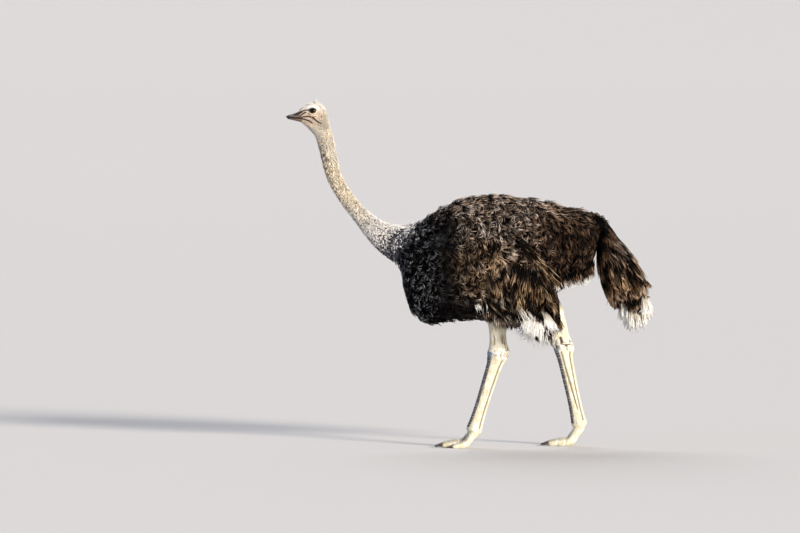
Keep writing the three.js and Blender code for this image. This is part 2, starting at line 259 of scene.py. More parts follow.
def unit(v: Array) -> Array:
    """Vectors at length 1."""
    return v / np.maximum(np.linalg.norm(v, axis=-1, keepdims=True), 1e-9)


def sections(*rows: tuple[float, ...]) -> list[Section]:
    """Sections from rows of x, z, lean, high, wide and, for some, y and bow."""
    return [Section(*row) for row in rows]


def smooth(low: float, high: float, value: Array) -> Array:
    """0 below low, 1 above high and a soft step between."""
    t = np.clip((value - low) / (high - low), 0, 1)
    return t * t * (3 - 2 * t)


HEAD_NECK = sections(
    (-923, 1783, -14, 26, 24), (-907, 1788, -9, 41, 30), (-883, 1790, -2, 59, 37), (-855, 1786, 3, 75, 42),
    (-826, 1774, 9, 85, 41), (-805, 1752, 15, 87, 37), (-794, 1719, 22, 74, 34), (-784, 1681, 33, 58, 35),
    (-771, 1631, 54, 46, 36), (-758, 1566, 74, 40, 35), (-729, 1455, 72, 38, 34), (-663, 1342, 54, 38, 35),
    (-576, 1237, 39, 45, 42), (-486, 1150, 25, 71, 62), (-373, 1086, 7, 112, 98),
)
TRUNK = sections(
    (-331, 1035, 8, 179, 138), (-275, 992, 9, 266, 178), (-173, 983, 6, 330, 212), (-19, 1018, 4, 346, 240),
    (159, 1027, 1, 343, 250), (327, 1044, 0, 307, 242), (489, 1079, 0, 237, 212), (618, 1097, 0, 196, 165),
    (684, 1152, 3, 122, 100), (706, 1177, 8, 60, 55),
)
WING = sections(
    (-226, 1104, 6, 62, 14, 188, 8), (-170, 1091, 5, 125, 24, 218, 30), (-78, 1072, 5, 187, 30, 248, 55),
    (30, 1040, 7, 231, 32, 268, 72), (146, 988, 10, 253, 32, 276, 76), (246, 915, 16, 250, 30, 270, 62),
    (319, 832, 24, 219, 27, 258, 42), (362, 734, 35, 172, 23, 244, 22), (394, 645, 50, 126, 18, 230, 8),
)
TAIL = sections(
    (690, 1196, 15, 60, 66), (712, 1138, 22, 78, 84), (734, 1066, 32, 97, 98), (767, 999, 38, 115, 108),
    (805, 933, 45, 125, 114), (840, 869, 48, 127, 116), (868, 812, 53, 121, 112), (888, 762, 58, 106, 102),
    (899, 722, 62, 86, 88),
)
BILL_UPPER = sections(
    (-908, 1793, -14, 17.5, 28), (-925, 1792, -14, 16.5, 27), (-941, 1790, -15, 12.5, 24.5),
    (-958, 1788, -15, 9.2, 21.5), (-974, 1785.5, -13, 6.4, 17),
)
BILL_LOWER = sections(
    (-906, 1764, -11, 10.5, 27), (-922, 1767.3, -11, 9.9, 26.2), (-940, 1770.8, -10, 8.7, 23.8),
    (-957, 1773.3, -9, 7.2, 20.3), (-973, 1775.4, -8, 5.2, 15.8),
)
MIDLINE = Form(HEAD_NECK + TRUNK)
TAIL_FORM = Form(TAIL)
WINGS = {hand: Form(WING, hand.value) for hand in Hand}
# The folded wings and the flanks make one rounded side, which the coat follows.
WINGED = [0] * 15 + [4, 14, 34, 54, 56, 44, 14, 0, 0, 0]
COAT_FORM = MIDLINE.slimmed(0, [-w for w in WINGED])

# How deep the skin lies under the midline form's outline, at each section.
DEPTH_HIGH = [2, 2, 2, 2, 2, 2, 3, 4, 5, 5, 5, 6, 9, 16, 30, 48, 60, 64, 66, 66, 62, 52, 48, 36, 18]
DEPTH_WIDE = [2, 2, 2, 2, 2, 2, 3, 4, 5, 5, 5, 6, 9, 15, 26, 40, 50, 42, 30, 28, 32, 40, 42, 32, 16]


# -------- modelling tools


def clear_selection() -> None:
    """Leaves nothing selected and nothing active."""
    if bpy.context.mode != "OBJECT":
        bpy.ops.object.mode_set(mode="OBJECT")
    bpy.ops.object.select_all(action="DESELECT")
    bpy.context.view_layer.objects.active = None


def pick(*pieces: Piece) -> None:
    """Selects only these pieces, the last one active."""
    clear_selection()
    for piece in pieces:
        piece.select_set(True)
    bpy.context.view_layer.objects.active = pieces[-1]


def positions(piece: Piece) -> Array:
    """Reads a mesh's points.

    Args:
        piece: The piece.

    Returns:
        The points, in metres.
    """
    co = np.empty(len(piece.data.vertices) * 3, np.float32)
    piece.data.vertices.foreach_get("co", co)
    return co.reshape(-1, 3).astype(float)


def normals(piece: Piece) -> Array:
    """Reads the normals of a mesh's points.

    Args:
        piece: The piece.

    Returns:
        One normal for each point.
    """
    out = np.empty(len(piece.data.vertices) * 3, np.float32)
    piece.data.vertex_normals.foreach_get("vector", out)
    return out.reshape(-1, 3).astype(float)


def move_points(piece: Piece, co: Array) -> None:
    """Puts a mesh's points at these places, in metres."""
    piece.data.vertices.foreach_set("co", co.astype(np.float32).ravel())
    piece.data.update()


def apply_modifier(piece: Piece, kind: str, **settings: object) -> None:
    """Adds a modifier and applies it.

    Args:
        piece: The piece.
        kind: The modifier's type.
        settings: Its settings.
    """
    pick(piece)
    modifier = piece.modifiers.new(kind.title(), kind)
    for name, value in settings.items():
        setattr(modifier, name, value)
    bpy.ops.object.modifier_apply(modifier=modifier.name)


def face_outwards(piece: Piece) -> None:
    """Turns every face of a closed piece outwards.

    Args:
        piece: The piece.
    """
    pick(piece)
    bpy.ops.object.mode_set(mode="EDIT")
    bpy.ops.mesh.select_all(action="SELECT")
    bpy.ops.mesh.normals_make_consistent(inside=False)
    bpy.ops.object.mode_set(mode="OBJECT")


def tube(name: str, form: Form, stations: Array, sides: int, domes: tuple[float, float] = (0, 0)) -> Piece:
    """A closed tube along a form: a cylinder, ringed in edit mode, whose rings are moved onto the form.

    Args:
        name: The piece's name.
        form: The form that it follows.
        stations: The places of its rings along the form.
        sides: How many points each ring has.
        domes: How far each end bulges, in millimetres.

    Returns:
        The tube.
    """
    caps = [(math.cos(a), math.sin(a)) for a in np.radians([76, 60, 42, 22])]
    before = [(stations[0], wide, -far * domes[0]) for wide, far in caps] if domes[0] else []
    after = [(stations[-1], wide, far * domes[1]) for wide, far in caps[::-1]] if domes[1] else []
    rings = np.array([*before, *((s, 1.0, 0.0) for s in stations), *after])
    clear_selection()
    bpy.ops.mesh.primitive_cylinder_add(vertices=sides, radius=1, depth=1, end_fill_type="TRIFAN")
    piece = bpy.context.object
    piece.name = piece.data.name = name
    bpy.ops.object.mode_set(mode="EDIT")
    bpy.ops.mesh.select_mode(type="EDGE")
    bpy.ops.mesh.select_all(action="DESELECT")
    mesh = bmesh.from_edit_mesh(piece.data)
    for edge in mesh.edges:
        a, b = (v.co for v in edge.verts)
        edge.select_set(abs(a.z - b.z) > 0.5)
    bmesh.update_edit_mesh(piece.data)
    bpy.ops.mesh.subdivide_edgering(number_cuts=len(rings) - 2, interpolation="LINEAR")
    bpy.ops.object.mode_set(mode="OBJECT")
    co = positions(piece)
    row = np.rint((co[:, 2] + 0.5) * (len(rings) - 1)).astype(int)
    radius = np.hypot(co[:, 0], co[:, 1])
    s, scale, shift = rings[row].T
    centre = radius < 0.5
    scale = np.where(centre, 0, scale)
    shift = np.where(centre, np.where(row == 0, -domes[0], domes[1]), shift)
    way = form.point(s + 0.01, 0 * s, 0, 0) - form.point(s - 0.01, 0 * s, 0, 0)
    placed = form.point(s, np.arctan2(co[:, 1], co[:, 0]), 0, scale) + unit(way) * shift[:, None]
    move_points(piece, placed * MM)
    face_outwards(piece)
    return piece


def egg(
    name: str, centre: Vector, radii: Sequence[float], segments: int = 32, turn: Sequence[float] = (0, 0, 0)
) -> Piece:
    """A stretched ball with its place in its mesh.

    Args:
        name: The piece's name.
        centre: Its middle, in millimetres.
        radii: Its half sizes.
        segments: How many faces go round it.
        turn: Its turn, in degrees.

    Returns:
        The ball.
    """
    clear_selection()
    bpy.ops.mesh.primitive_uv_sphere_add(segments=segments, ring_count=segments // 2, radius=1)
    piece = bpy.context.object
    piece.name = piece.data.name = name
    piece.scale = Vector(radii) * MM
    piece.rotation_euler = [math.radians(a) for a in turn]
    piece.location = Vector(centre) * MM
    bpy.ops.object.transform_apply(location=True, rotation=True, scale=True)
    return piece


def combine(piece: Piece, other: Piece, operation: str = "UNION") -> None:
    """Joins a second closed piece to the first, or takes it away, and removes it."""
    apply_modifier(piece, "BOOLEAN", operation=operation, object=other, solver="EXACT")
    bpy.data.objects.remove(other)


def cut_away(piece: Piece, cutter: Piece) -> None:
    """Takes a cutter's space out of a piece and removes the cutter."""
    combine(piece, cutter, "DIFFERENCE")


def join(name: str, *pieces: Piece) -> Piece:
    """Joins pieces into the last one's object.

    Args:
        name: The new name.
        pieces: What is joined.

    Returns:
        The one piece.
    """
    pick(*pieces)
    bpy.ops.object.join()
    piece = bpy.context.object
    piece.name = piece.data.name = name
    return piece


def finish_piece(
    piece: Piece, material: Material, stands_for: Sequence[str] = (), angle: float | None = None
) -> None:
    """Dresses a finished piece and gives it to the frame.

    Args:
        piece: The piece.
        material: Its finish.
        stands_for: The CAD nodes that it replaces.
        angle: The sharpest angle shaded smooth, or None for smooth all over.
    """
    piece.data.materials.clear()
    piece.data.materials.append(material)
    if angle is None:
        piece.data.shade_smooth()
    else:
        pick(piece)
        bpy.ops.object.shade_smooth_by_angle(angle=math.radians(angle))
    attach(piece, BODY)
    if stands_for:
        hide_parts(*stands_for)
    log.info("%s: %d triangles", piece.name, len(piece.data.loops) - 2 * len(piece.data.polygons))


@dataclass(frozen=True)
class Stroke:
    """A sculpting stroke: a path over the surface that raises or sinks what lies near it."""

    path: Sequence[Sequence[float]] | Array
    reach: float
    height: float

    def lift(self, co: Array) -> Array:
        """Measures what the stroke does.

        Args:
            co: Points, in millimetres.

        Returns:
            How far each is raised.
        """
        path = np.array(self.path, float)
        if len(path) == 1:
            near = np.linalg.norm(co - path[0], axis=1)
        else:
            near = np.full(len(co), 1e9)
            for a, b in zip(path, path[1:]):
                run = b - a
                t = np.clip(((co - a) @ run) / (run @ run), 0, 1)
                near = np.minimum(near, np.linalg.norm(co - a - t[:, None] * run, axis=1))
        return self.height * np.exp(-((near / self.reach) ** 2) * 1.5)


def total_lift(co: Array, strokes: Sequence[Stroke]) -> Array:
    """Measures what strokes do together.

    Args:
        co: Points, in millimetres.
        strokes: The strokes.

    Returns:
        How far each point is raised.
    """
    lift = np.zeros(len(co))
    for stroke in strokes:
        path = np.array(stroke.path)
        low, high = path.min(0) - 3 * stroke.reach, path.max(0) + 3 * stroke.reach
        close = np.flatnonzero(((co > low) & (co < high)).all(1))
        lift[close] += stroke.lift(co[close])
    return lift


def sculpt(piece: Piece, strokes: Sequence[Stroke]) -> None:
    """Makes the strokes on a piece, each along its surface's normals."""
    co, way = positions(piece) / MM, normals(piece)
    move_points(piece, (co + way * total_lift(co, strokes)[:, None]) * MM)


def store(mesh: bpy.types.Mesh, name: str, values: Array) -> None:
    """Keeps a value for each point of a mesh."""
    mesh.attributes.new(name, "FLOAT", "POINT").data.foreach_set("value", values.astype(np.float32))


# -------- materials


@dataclass
class Nodes:
    """A short way to lay shader nodes in a tree."""

    tree: bpy.types.NodeTree

    def add(
        self, kind: str, inputs: dict[str | int, object] | None = None, **settings: object
    ) -> bpy.types.Node:
        """Adds a node.

        Args:
            kind: Its type, without the ShaderNode prefix.
            inputs: Values for its sockets, or sockets to link to them.
            **settings: The node's own properties.

        Returns:
            The node.
        """
        node = self.tree.nodes.new(kind if kind.startswith("Node") else f"ShaderNode{kind}")
        for name, value in settings.items():
            setattr(node, name, value)
        self.feed(node, inputs or {})
        return node

    def feed(self, node: bpy.types.Node, inputs: dict[str | int, object]) -> None:
        """Gives a node's sockets their values, hex colours or links.

        Args:
            node: The node.
            inputs: What each socket gets.
        """
        for key, value in inputs.items():
            socket = node.inputs[key]
            if isinstance(value, Socket):
                self.tree.links.new(value, socket)
            else:
                socket.default_value = colour(value) if isinstance(value, str) else value

    def place(self) -> tuple[Socket, ...]:
        """The three Object coordinates, in metres."""
        return tuple(self.add("SeparateXYZ", {0: self.add("TexCoord").outputs["Object"]}).outputs)

    def mix(self, fac: object, a: object, b: object, blend: str = "MIX") -> Socket:
        """Mixes two colours, which may be sockets or hex codes."""
        return self.add("Mix", {0: fac, 6: a, 7: b}, data_type="RGBA", blend_type=blend).outputs[2]

    def math(self, operation: str, a: object, b: object = 0.5, clamp: bool = False) -> Socket:
        """One sum on values."""
        return self.add("Math", {0: a, 1: b}, operation=operation, use_clamp=clamp).outputs[0]

    def product(self, *values: object) -> Socket:
        """Multiplies values.

        Args:
            values: Numbers or sockets.

        Returns:
            The product.
        """
        result = values[0]
        for value in values[1:]:
            result = self.math("MULTIPLY", result, value)
        return result

    def ramp(self, value: object, low: float, high: float, start: float = 0.0, end: float = 1.0) -> Socket:
        """Start below low, end above high and a soft step between."""
        inputs = {"Value": value, "From Min": low, "From Max": high, "To Min": start, "To Max": end}
        return self.add("MapRange", inputs, interpolation_type="SMOOTHSTEP").outputs[0]

    def noise(
        self, scale: float | Socket, detail: float = 3.0, stretch: Sequence[float] | Socket = (1, 1, 1),
        rough: float = 0.55,
    ) -> Socket:
        """Soft noise on Object coordinates.

        Args:
            scale: Its lumps per metre.
            detail: How many finer layers it has.
            stretch: What each axis is scaled by.
            rough: How strong the finer layers are.

        Returns:
            The noise, about 0.5.
        """
        place = self.add("TexCoord").outputs["Object"]
        place = self.add("Mapping", {"Vector": place, "Scale": stretch}).outputs[0]
        inputs = {"Vector": place, "Scale": scale, "Detail": detail, "Roughness": rough}
        return self.add("TexNoise", inputs).outputs["Fac"]

    def attribute(self, name: str) -> Socket:
        """A value that the mesh holds."""
        return self.add("Attribute", attribute_name=name).outputs["Fac"]

    def effect(self, effect: Effect, **values: object) -> bpy.types.Node:
        """Places a shared effect with its own values."""
        return self.add("Group", values, node_tree=effect.tree())


Sockets = dict[str, Socket]


@dataclass(frozen=True)
class Effect:
    """A shader node group that several materials share: its inputs' usual values and what lays its nodes."""

    name: str
    inputs: dict[str, object]
    lay: Callable[[Nodes, Sockets], Sockets]

    def tree(self) -> bpy.types.NodeTree:
        """Builds the group, the first time it is asked for.

        Returns:
            The group.
        """
        kinds = {float: "NodeSocketFloat", str: "NodeSocketColor", tuple: "NodeSocketVector"}
        results = {"VALUE": "NodeSocketFloat", "RGBA": "NodeSocketColor", "VECTOR": "NodeSocketVector"}
        tree = bpy.data.node_groups.get(self.name)
        if tree is None:
            tree = bpy.data.node_groups.new(self.name, "ShaderNodeTree")
            for name, value in self.inputs.items():
                socket = tree.interface.new_socket(name, in_out="INPUT", socket_type=kinds[type(value)])
                socket.default_value = colour(value) if isinstance(value, str) else value
            nodes = Nodes(tree)
            entry = nodes.add("NodeGroupInput")
            made = self.lay(nodes, {name: entry.outputs[name] for name in self.inputs})
            for name, value in made.items():
                tree.interface.new_socket(name, in_out="OUTPUT", socket_type=results[value.type])
            nodes.add("NodeGroupOutput", made)
        return tree


def colour(code: str) -> tuple[float, float, float, float]:
    """A hex colour as linear red, green, blue and 1."""
    parts = [int(code[i : i + 2], 16) / 255 for i in (0, 2, 4)]
    return (*(p / 12.92 if p <= 0.04045 else ((p + 0.055) / 1.055) ** 2.4 for p in parts), 1.0)


def new_material(name: str) -> tuple[Material, Nodes, bpy.types.Node]:
    """An empty material with its Principled shader.

    Args:
        name: The material's name.

    Returns:
        The material, its nodes and the shader.
    """
    material = bpy.data.materials.new(name)
    material.use_nodes = True
    material.node_tree.nodes.clear()
    nodes = Nodes(material.node_tree)
    shader = nodes.add("BsdfPrincipled")
    nodes.add("OutputMaterial", {"Surface": shader.outputs[0]})
    return material, nodes, shader


@dataclass(frozen=True)
class PlumeFinish:
    """The colours of a plume from its root to its tip."""

    name: str
    root: str
    body: str
    tip: str
    light: str
    roughness: float = 0.6
    sheen: float = 0.1
    light_share: tuple[float, float] = (0.45, 0.95)
    warm: str | None = None
    # cool is the blue-grey of the front's tips: painted sky light on the shaded front.
    cool: str | None = None
    gold: str | None = None
    speck: str = "14131a"
    mottle: float = 0.15
    gloss: float = 0.3

    def make(self) -> Material:
        """Builds the material from what each strand's mesh says of its place and tone.

        Returns:
            The material.
        """
        material, n, shader = new_material(self.name)
        shares = {"Light From": self.light_share[0], "Light To": self.light_share[1]}
        ends = n.effect(PLUME_ENDS, Body=self.body, Tip=self.tip, Light=self.light, **shares).outputs["Color"]
        tone = n.attribute("tone")
        if self.warm:
            ends = n.mix(self.warmth(n), ends, n.mix(n.ramp(tone, 0.25, 0.9), "463321", self.warm))
            # Painted shade: where the tips' light share is low they take the body's dark colour.
            ends = n.mix(n.math("SUBTRACT", 1.0, self.brightness(n)), ends, self.body)
        if self.cool:
            x, _, z = n.place()
            rear = n.product(n.ramp(x, 0.25, 0.5, 0, 0.75), n.ramp(x, 0.76, 0.86, 1, 0.25))
            brown = n.product(rear, n.ramp(z, 1.3, 1.16, 0.5, 1.0))
            ends = n.mix(brown, ends, n.mix(1.0, ends, "dcb48e", "MULTIPLY"))
            # The front's tips: painted shade, nearly black, and on the lighter ones a blue tint of painted sky
            # light.
            front = n.mix(n.ramp(tone, 0.55, 0.97), "0a0a0e", self.cool)
            ends = n.mix(n.ramp(x, -0.08, -0.32), ends, front)
        if self.gold:
            x, _, z = n.place()
            middle = n.product(n.ramp(z, 1.66, 1.5), n.ramp(z, 1.22, 1.36))
            # The nape share paints the warm light on the lit rear of the upper neck and head; the middle band
            # is the neck's own golden tint.
            nape = n.product(n.ramp(x, -0.86, -0.81, 0, 0.75), n.ramp(z, 1.86, 1.78), n.ramp(z, 1.5, 1.66))
            share = n.math("MAXIMUM", middle, nape)
            ends = n.mix(share, ends, n.mix(1.0, ends, self.gold, "MULTIPLY"))
        plume = n.effect(
            PLUME_LENGTH, Root=self.root, Body=self.body, Ends=ends, Speck=self.speck, Mottle=self.mottle,
            Roughness=self.roughness,
        ).outputs
        n.feed(shader, {"Base Color": plume["Color"], "Roughness": plume["Roughness"]})
        n.feed(shader, {"Sheen Weight": self.sheen, "Sheen Roughness": 0.4, "Specular IOR Level": self.gloss})
        return material

    @staticmethod
    def brightness(n: Nodes) -> Socket:
        """How light the tips are, as painted light and shade on the coat.

        Args:
            n: The material's nodes.

        Returns:
            A share, most on the back, least under the rump and on the low front.
        """
        x, _, z = n.place()
        gain = n.ramp(z, 0.98, 1.24, 0.88, 1.0)
        rump = (
            n.ramp(x, 0.5, 0.56), n.ramp(x, 0.74, 0.7), n.ramp(z, 1.36, 1.2), n.ramp(z, 0.94, 1.04, 0.2, 1.0)
        )
        behind = (n.ramp(x, 0.34, 0.42), n.ramp(x, 0.56, 0.5), n.ramp(z, 1.27, 1.16))
        low = (n.ramp(z, 0.92, 0.74), n.ramp(x, 0.12, -0.02))
        shoulder = (n.ramp(z, 1.33, 1.2), n.ramp(x, 0.02, -0.12))
        tail = (n.ramp(z, 0.96, 1.06), n.ramp(x, 0.7, 0.74))
        for place, loss in ((rump, 0.64), (behind, 0.5), (low, 0.95), (shoulder, 0.95), (tail, 0.6)):
            gain = n.product(gain, n.math("SUBTRACT", 1.0, n.product(*place, loss)))
        return gain

    @staticmethod
    def warmth(n: Nodes) -> Socket:
        """How sun-bleached the flank is.

        Args:
            n: The material's nodes.

        Returns:
            A share, most over the folded wing.
        """
        x, _, z = n.place()
        most = 0.0
        for px, pz, wide, high in (
            (0.09, 0.96, 0.25, 0.17), (0.21, 0.9, 0.17, 0.19), (0.89, 0.88, 0.1, 0.16)
        ):
            across = n.math("DIVIDE", n.math("SUBTRACT", x, px), wide)
            up = n.math("DIVIDE", n.math("SUBTRACT", z, pz), high)
            reach = n.math("ADD", n.product(across, across), n.product(up, up))
            most = n.math("MAXIMUM", most, n.ramp(reach, 0.2, 1.3, 1.0, 0.0))
        return n.product(most, n.ramp(n.noise(11, 2), 0.3, 0.6, 0.25, 0.9))


def plume_ends(n: Nodes, entry: Sockets) -> Sockets:
    """A plume's end: dark, tipped or light, by its tone.

    Args:
        n: The group's nodes.
        entry: Its inputs.

    Returns:
        Its outputs.
    """
    tone = n.attribute("tone")
    ends = n.mix(n.ramp(tone, 0.25, 0.6), entry["Body"], entry["Tip"])
    return {"Color": n.mix(n.ramp(tone, entry["Light From"], entry["Light To"]), ends, entry["Light"])}


def plume_length(n: Nodes, entry: Sockets) -> Sockets:
    """A plume from root to end, with the odd dark one, worn unevenly over the bird.

    Args:
        n: The group's nodes.
        entry: Its inputs.

    Returns:
        Its outputs.
    """
    along = n.attribute("along")
    # Darker towards the root: the plume's own colour, and painted shade deep in the coat.
    base = n.mix(n.ramp(along, 0.1, 0.6), entry["Root"], entry["Body"])
    base = n.mix(n.ramp(along, 0.42, 0.86), base, entry["Ends"])
    share = n.product(
        n.attribute("speck"), n.ramp(n.attribute("tone"), 0.55, 0.95, 1.0, 0.66), n.ramp(along, 0.0, 0.3)
    )
    base = n.mix(share, base, entry["Speck"])
    worn = n.noise(26, 3)
    for shade, where in (("7d766e", n.ramp(worn, 0.35, 0.65)), ("4c4742", n.ramp(n.noise(13, 2), 0.42, 0.6))):
        base = n.mix(n.product(where, entry["Mottle"]), base, n.mix(1.0, base, shade, "MULTIPLY"))
    rough = n.math("ADD", n.ramp(worn, 0.3, 0.75, -0.1, 0.12), entry["Roughness"])
    return {"Color": base, "Roughness": rough}


PLUME_ENDS = Effect(
    "plume_ends",
    {"Body": "140f0c", "Tip": "927d6e", "Light": "d2c2b6", "Light From": 0.45, "Light To": 0.95},
    plume_ends,
)
PLUME_LENGTH = Effect(
    "plume_length",
    {
        "Root": "040302", "Body": "140f0c", "Ends": "927d6e", "Speck": "14131a", "Mottle": 0.15,
        "Roughness": 0.6,
    },
    plume_length,
)


# -------- the coat

PATCH = 0.003  # how wide a strand's patch is on the OFBake map
MOST_TRIANGLES = 199_500
WIDEST = 328.0  # how far out a hanging plume may stand, in millimetres
Weigher = Callable[[Array, Array, Array, Array], Array]


def blades(
    name: str, path: Array, outward: Array, widths: Array, stops: Array, home: Array, tones: Array,
    thick: float = 0.42, specks: Array | float = 0.0,
) -> Piece:
    """Strands as one mesh: each is a closed three-sided blade that runs out to a point.

    Args:
        name: The piece's name.
        path: Each strand's stops from root to tip, in millimetres.
        outward: The surface's normals there.
        widths: The strand's width there.
        stops: How far along the strand each stop is.
        home: The root's place on the OFBake map.
        tones: Each strand's tone.
        thick: The thickness as a share of the width.
        specks: 1 for each strand of the odd colour.

    Returns:
        The piece.
    """
    count, rows, _ = path.shape
    run = unit(np.gradient(path, axis=1))
    side = unit(np.cross(outward, run))
    top = unit(np.cross(run, side))
    w = widths[..., None]
    corners = np.stack([path + side * w / 2, path - side * w / 2, path + top * w * thick], 2)
    points = np.concatenate([corners[:, :-1].reshape(count, -1, 3), path[:, -1:]], 1)
    size = points.shape[1]
    quads, quad_uv = [], []
    tris, tri_uv = [(0, 1, 2)], [((0.0, 0.0), (0.33, 0.0), (0.66, 0.0))]
    for k in range(rows - 2):
        for i in range(3):
            j = (i + 1) % 3
            quads.append((3 * k + j, 3 * k + i, 3 * k + 3 + i, 3 * k + 3 + j))
            quad_uv.append(((i + 1, stops[k]), (i, stops[k]), (i, stops[k + 1]), (i + 1, stops[k + 1])))
    quad_uv = np.array(quad_uv) / (3, 1)
    for i in range(3):
        j = (i + 1) % 3
        tris.append((3 * (rows - 2) + j, 3 * (rows - 2) + i, size - 1))
        tri_uv.append((((i + 1) / 3, stops[-2]), (i / 3, stops[-2]), ((i + 0.5) / 3, 1.0)))
    if count * (2 * len(quads) + len(tris)) > MOST_TRIANGLES:
        raise ValueError(f"{name} has {count * (2 * len(quads) + len(tris))} triangles")
    shift = np.arange(count)[:, None] * size
    loops = [(np.array(faces).ravel()[None] + shift).ravel() for faces in (quads, tris)]
    starts = np.concatenate(
        [np.arange(len(quads) * count) * 4, len(loops[0]) + np.arange(len(tris) * count) * 3]
    )
    uv = [(np.array(f).reshape(1, -1, 2) * PATCH + home[:, None]).reshape(-1, 2) for f in (quad_uv, tri_uv)]
    mesh = bpy.data.meshes.new(name)
    mesh.vertices.add(count * size)
    mesh.vertices.foreach_set("co", (points * MM).astype(np.float32).ravel())
    loops = np.concatenate(loops).astype(np.int32)
    mesh.loops.add(len(loops))
    mesh.loops.foreach_set("vertex_index", loops)
    mesh.polygons.add(len(starts))
    mesh.polygons.foreach_set("loop_start", starts.astype(np.int32))
    mesh.uv_layers.new(name="OFBake").uv.foreach_set("vector", np.concatenate(uv).astype(np.float32).ravel())
    store(mesh, "along", np.tile(np.concatenate([np.repeat(stops[:-1], 3), [1.0]]), count))
    store(mesh, "tone", np.repeat(tones, size))
    store(mesh, "speck", np.repeat(np.broadcast_to(specks, count), size))
    mesh.update(calc_edges=True)
    mesh.validate()
    piece = bpy.data.objects.new(name, mesh)
    bpy.context.scene.collection.objects.link(piece)
    return piece


@dataclass(frozen=True)
class Growth:
    """How the plumes of one area grow. Lengths are millimetres and angles degrees.

    layer is how deep under the outline a plume lies, and lift how far its tip rises from there.
    fan spreads a plume's strands, curl bends their ends and wander turns the whole plume.
    bundle is the share of its length in which a plume's strands stay together, mixed how much of
    their tone is their own, and contrast how far the tones lie apart.
    """

    name: str
    plumes: int
    strands: int
    length: tuple[float, float]
    width: float
    layer: tuple[float, float]
    lift: tuple[float, float] = (0.0, 6.0)
    fan: float = 16.0
    curl: float = 90.0
    wander: float = 18.0
    thick: float = 0.42
    rings: int = 4
    bundle: float = 0.4
    lump: float = 0.0
    ribbon: float = 0.0
    stray: float = 0.06
    mixed: float = 0.4
    contrast: float = 1.0


def lumps(p: Array) -> Array:
    """Low and high places of the coat, about 50 mm apart.

    Args:
        p: Points, in millimetres.

    Returns:
        From -1 to 1 for each.
    """
    x, y, z = (p / 15.0).T
    bend = 1.7 * np.sin(0.43 * x + 0.31 * z + 0.5) + 1.3 * np.sin(0.37 * z - 0.29 * y)
    large = np.sin(0.9 * x + bend) * np.cos(0.8 * z - 0.7 * bend + 0.3 * y)
    return large + 0.3 * np.sin(2.1 * x + 1.7 * z + bend)


def groove(p: Array) -> Array:
    """The hollow behind the folded wing.

    Args:
        p: Points, in millimetres.

    Returns:
        How far into it each is, from 0 to 1.
    """
    x, y, z = p.T
    start, end = np.array((292.0, 1085.0)), np.array((358.0, 800.0))
    run = end - start
    t = np.clip(((x - start[0]) * run[0] + (z - start[1]) * run[1]) / (run @ run), 0, 1)
    off = np.hypot(x - start[0] - t * run[0], z - start[1] - t * run[1])
    return np.exp(-((off / 20) ** 2)) * smooth(90, 150, np.abs(y))


@dataclass
class Area:
    """The part of a form that a growth covers, and how it lies there.

    lie gives the coat's way from points, places along and the slope along the form.
    size gives a share of the length, and depth how deep the skin lies.
    """

    form: Form
    span: tuple[float, float]
    arc: tuple[float, float]
    lie: Callable[[Array, Array, Array], Array]
    depth: Callable[[Array, Array], Array]
    density: Weigher = lambda p, s, th, n: np.ones(len(s))
    size: Callable[[Array, Array, Array], Array] = lambda p, s, th: np.ones(len(s))
    speck: Callable[[Array, Array, Array], Array] = lambda p, s, th: np.zeros(len(s))
    hem: tuple[tuple[float, float], ...] = ()

    def room(self, p: Array, way: Array, most: float) -> Array:
        """Measures the way to the hem.

        Args:
            p: Roots, in millimetres.
            way: Which way each goes.
            most: How far to look.

        Returns:
            The length above the hem.
        """
        if not self.hem:
            return np.full(len(p), 1e6)
        xs, zs = np.array(self.hem).T
        reach = np.linspace(0, most, 25)
        at = p[:, None] + way[:, None] * reach[None, :, None]
        above = at[..., 2] > np.interp(at[..., 0], xs, zs)
        return np.where(above.all(1), 1e6, reach[np.argmin(above, axis=1)])


def home_of(area: Area, s: Array, th: Array) -> Array:
    """A root's place on the OFBake map: round the form and along it."""
    home = np.stack([th / (2 * math.pi) % 1.0, (s - area.span[0]) / (area.span[1] - area.span[0])], -1)
    return np.clip(home, 0, 1) * (1 - PATCH)


def surface_step(along: Array, turn: Array, way: Array) -> tuple[Array, Array]:
    """Turns a step in space into one on a form.

    Args:
        along: The slope along the form.
        turn: The slope round it.
        way: The step.

    Returns:
        How far along and round it goes.
    """
    aa, bb, ab = (along * along).sum(-1), (turn * turn).sum(-1), (along * turn).sum(-1)
    wa, wb = (way * along).sum(-1), (way * turn).sum(-1)
    det = np.maximum(aa * bb - ab * ab, 1e-6)
    return np.clip((wa * bb - wb * ab) / det, -0.9, 0.9), np.clip((wb * aa - wa * ab) / det, -0.5, 0.5)


